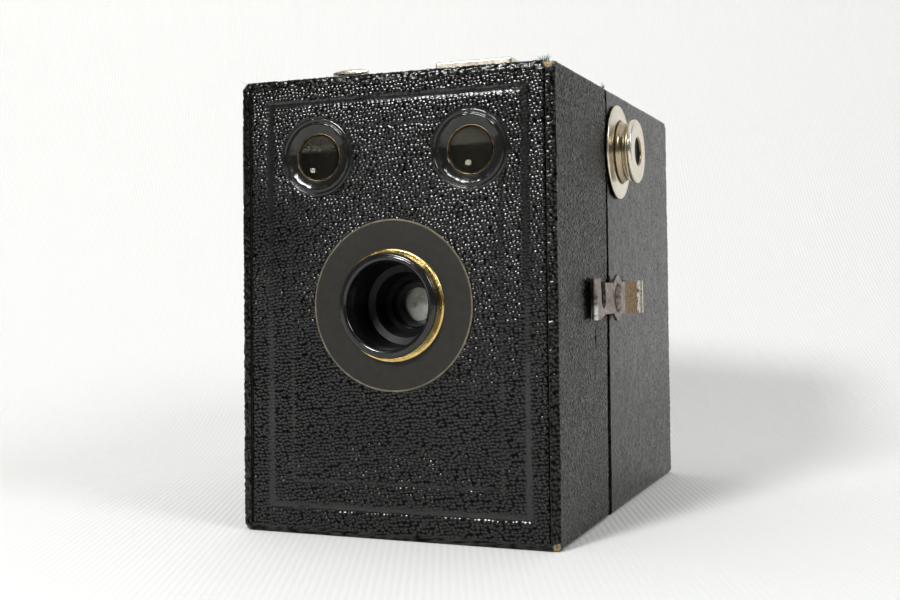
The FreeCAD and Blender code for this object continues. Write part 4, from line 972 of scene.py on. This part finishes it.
def world_light():
    world = bpy.data.worlds.new("studio")
    scene.world = world
    world.use_nodes = True
    n = world.node_tree.nodes
    link = world.node_tree.links.new
    coord = n.new("ShaderNodeTexCoord")
    split = n.new("ShaderNodeSeparateXYZ")
    link(coord.outputs["Generated"], split.inputs["Vector"])
    ramp = n.new("ShaderNodeValToRGB")
    stops = [(0.0, 0.09), (0.35, 0.2), (0.6, 0.5), (1.0, 0.6)]
    while len(ramp.color_ramp.elements) < len(stops):
        ramp.color_ramp.elements.new(0.5)
    for element, (at, value) in zip(ramp.color_ramp.elements, stops):
        element.position = at
        element.color = (value, value, value * 0.985, 1)
    half = n.new("ShaderNodeMath")
    half.operation = "MULTIPLY_ADD"
    half.inputs[1].default_value = 0.5
    half.inputs[2].default_value = 0.5
    link(split.outputs["Y"], half.inputs[0])
    link(half.outputs["Value"], ramp.inputs["Fac"])
    link(ramp.outputs["Color"], n["Background"].inputs["Color"])
    n["Background"].inputs["Strength"].default_value = 0.72


def camera():
    """A camera at the photograph's viewpoint: eye, pitch, roll and heading, lens and upward shift."""
    eye = np.array([114.92, -313.01, 58.17]) * MM
    pitch, roll, yaw = (math.radians(a) for a in (-1.782, -0.6075, -21.618))
    rx = np.array([[1, 0, 0], [0, math.cos(pitch), -math.sin(pitch)], [0, math.sin(pitch), math.cos(pitch)]])
    ry = np.array([[math.cos(roll), 0, math.sin(roll)], [0, 1, 0], [-math.sin(roll), 0, math.cos(roll)]])
    rz = np.array([[math.cos(yaw), -math.sin(yaw), 0], [math.sin(yaw), math.cos(yaw), 0], [0, 0, 1]])
    m = ry @ rx @ rz
    cam = bpy.data.cameras.new("camera")
    cam.sensor_width = 36.0
    cam.lens = 1222.14 / 900 * 36.0
    cam.shift_y = (245.0 - 300.0) / 900
    cam.clip_start = 0.01
    obj = bpy.data.objects.new("camera", cam)
    obj.matrix_world = Matrix(((m[0][0], m[2][0], -m[1][0], eye[0]), (m[0][1], m[2][1], -m[1][1], eye[1]),
                               (m[0][2], m[2][2], -m[1][2], eye[2]), (0, 0, 0, 1)))
    scene.collection.objects.link(obj)
    scene.camera = obj


def toward(azimuth, elevation, distance):
    """A place seen from the box: azimuth in degrees from the front (-Y) round to the right (+X)."""
    a, e = math.radians(azimuth), math.radians(elevation)
    return (distance * math.sin(a) * math.cos(e), -distance * math.cos(a) * math.cos(e),
            distance * math.sin(e) + 0.05)


ribbed_floor()
world_light()
area("lamp_front_left", toward(-13, 31, 1.0), (0, 0, 0.06), 0.19, 8.0, (1.0, 0.99, 0.975))
area("lamp_right", toward(68, 35, 1.2), (0, 0, 0.05), 0.42, 4.4)
area("overhead", (0.0, 0.0, 1.3), (0, 0, 0), 1.5, 4.6, (1, 1, 1), "SQUARE")
area("backdrop_light", (-0.45, 0.15, 0.95), (0.0, 0.75, 0.35), 0.6, 0.12)
camera()
scene.view_settings.view_transform = "Standard"
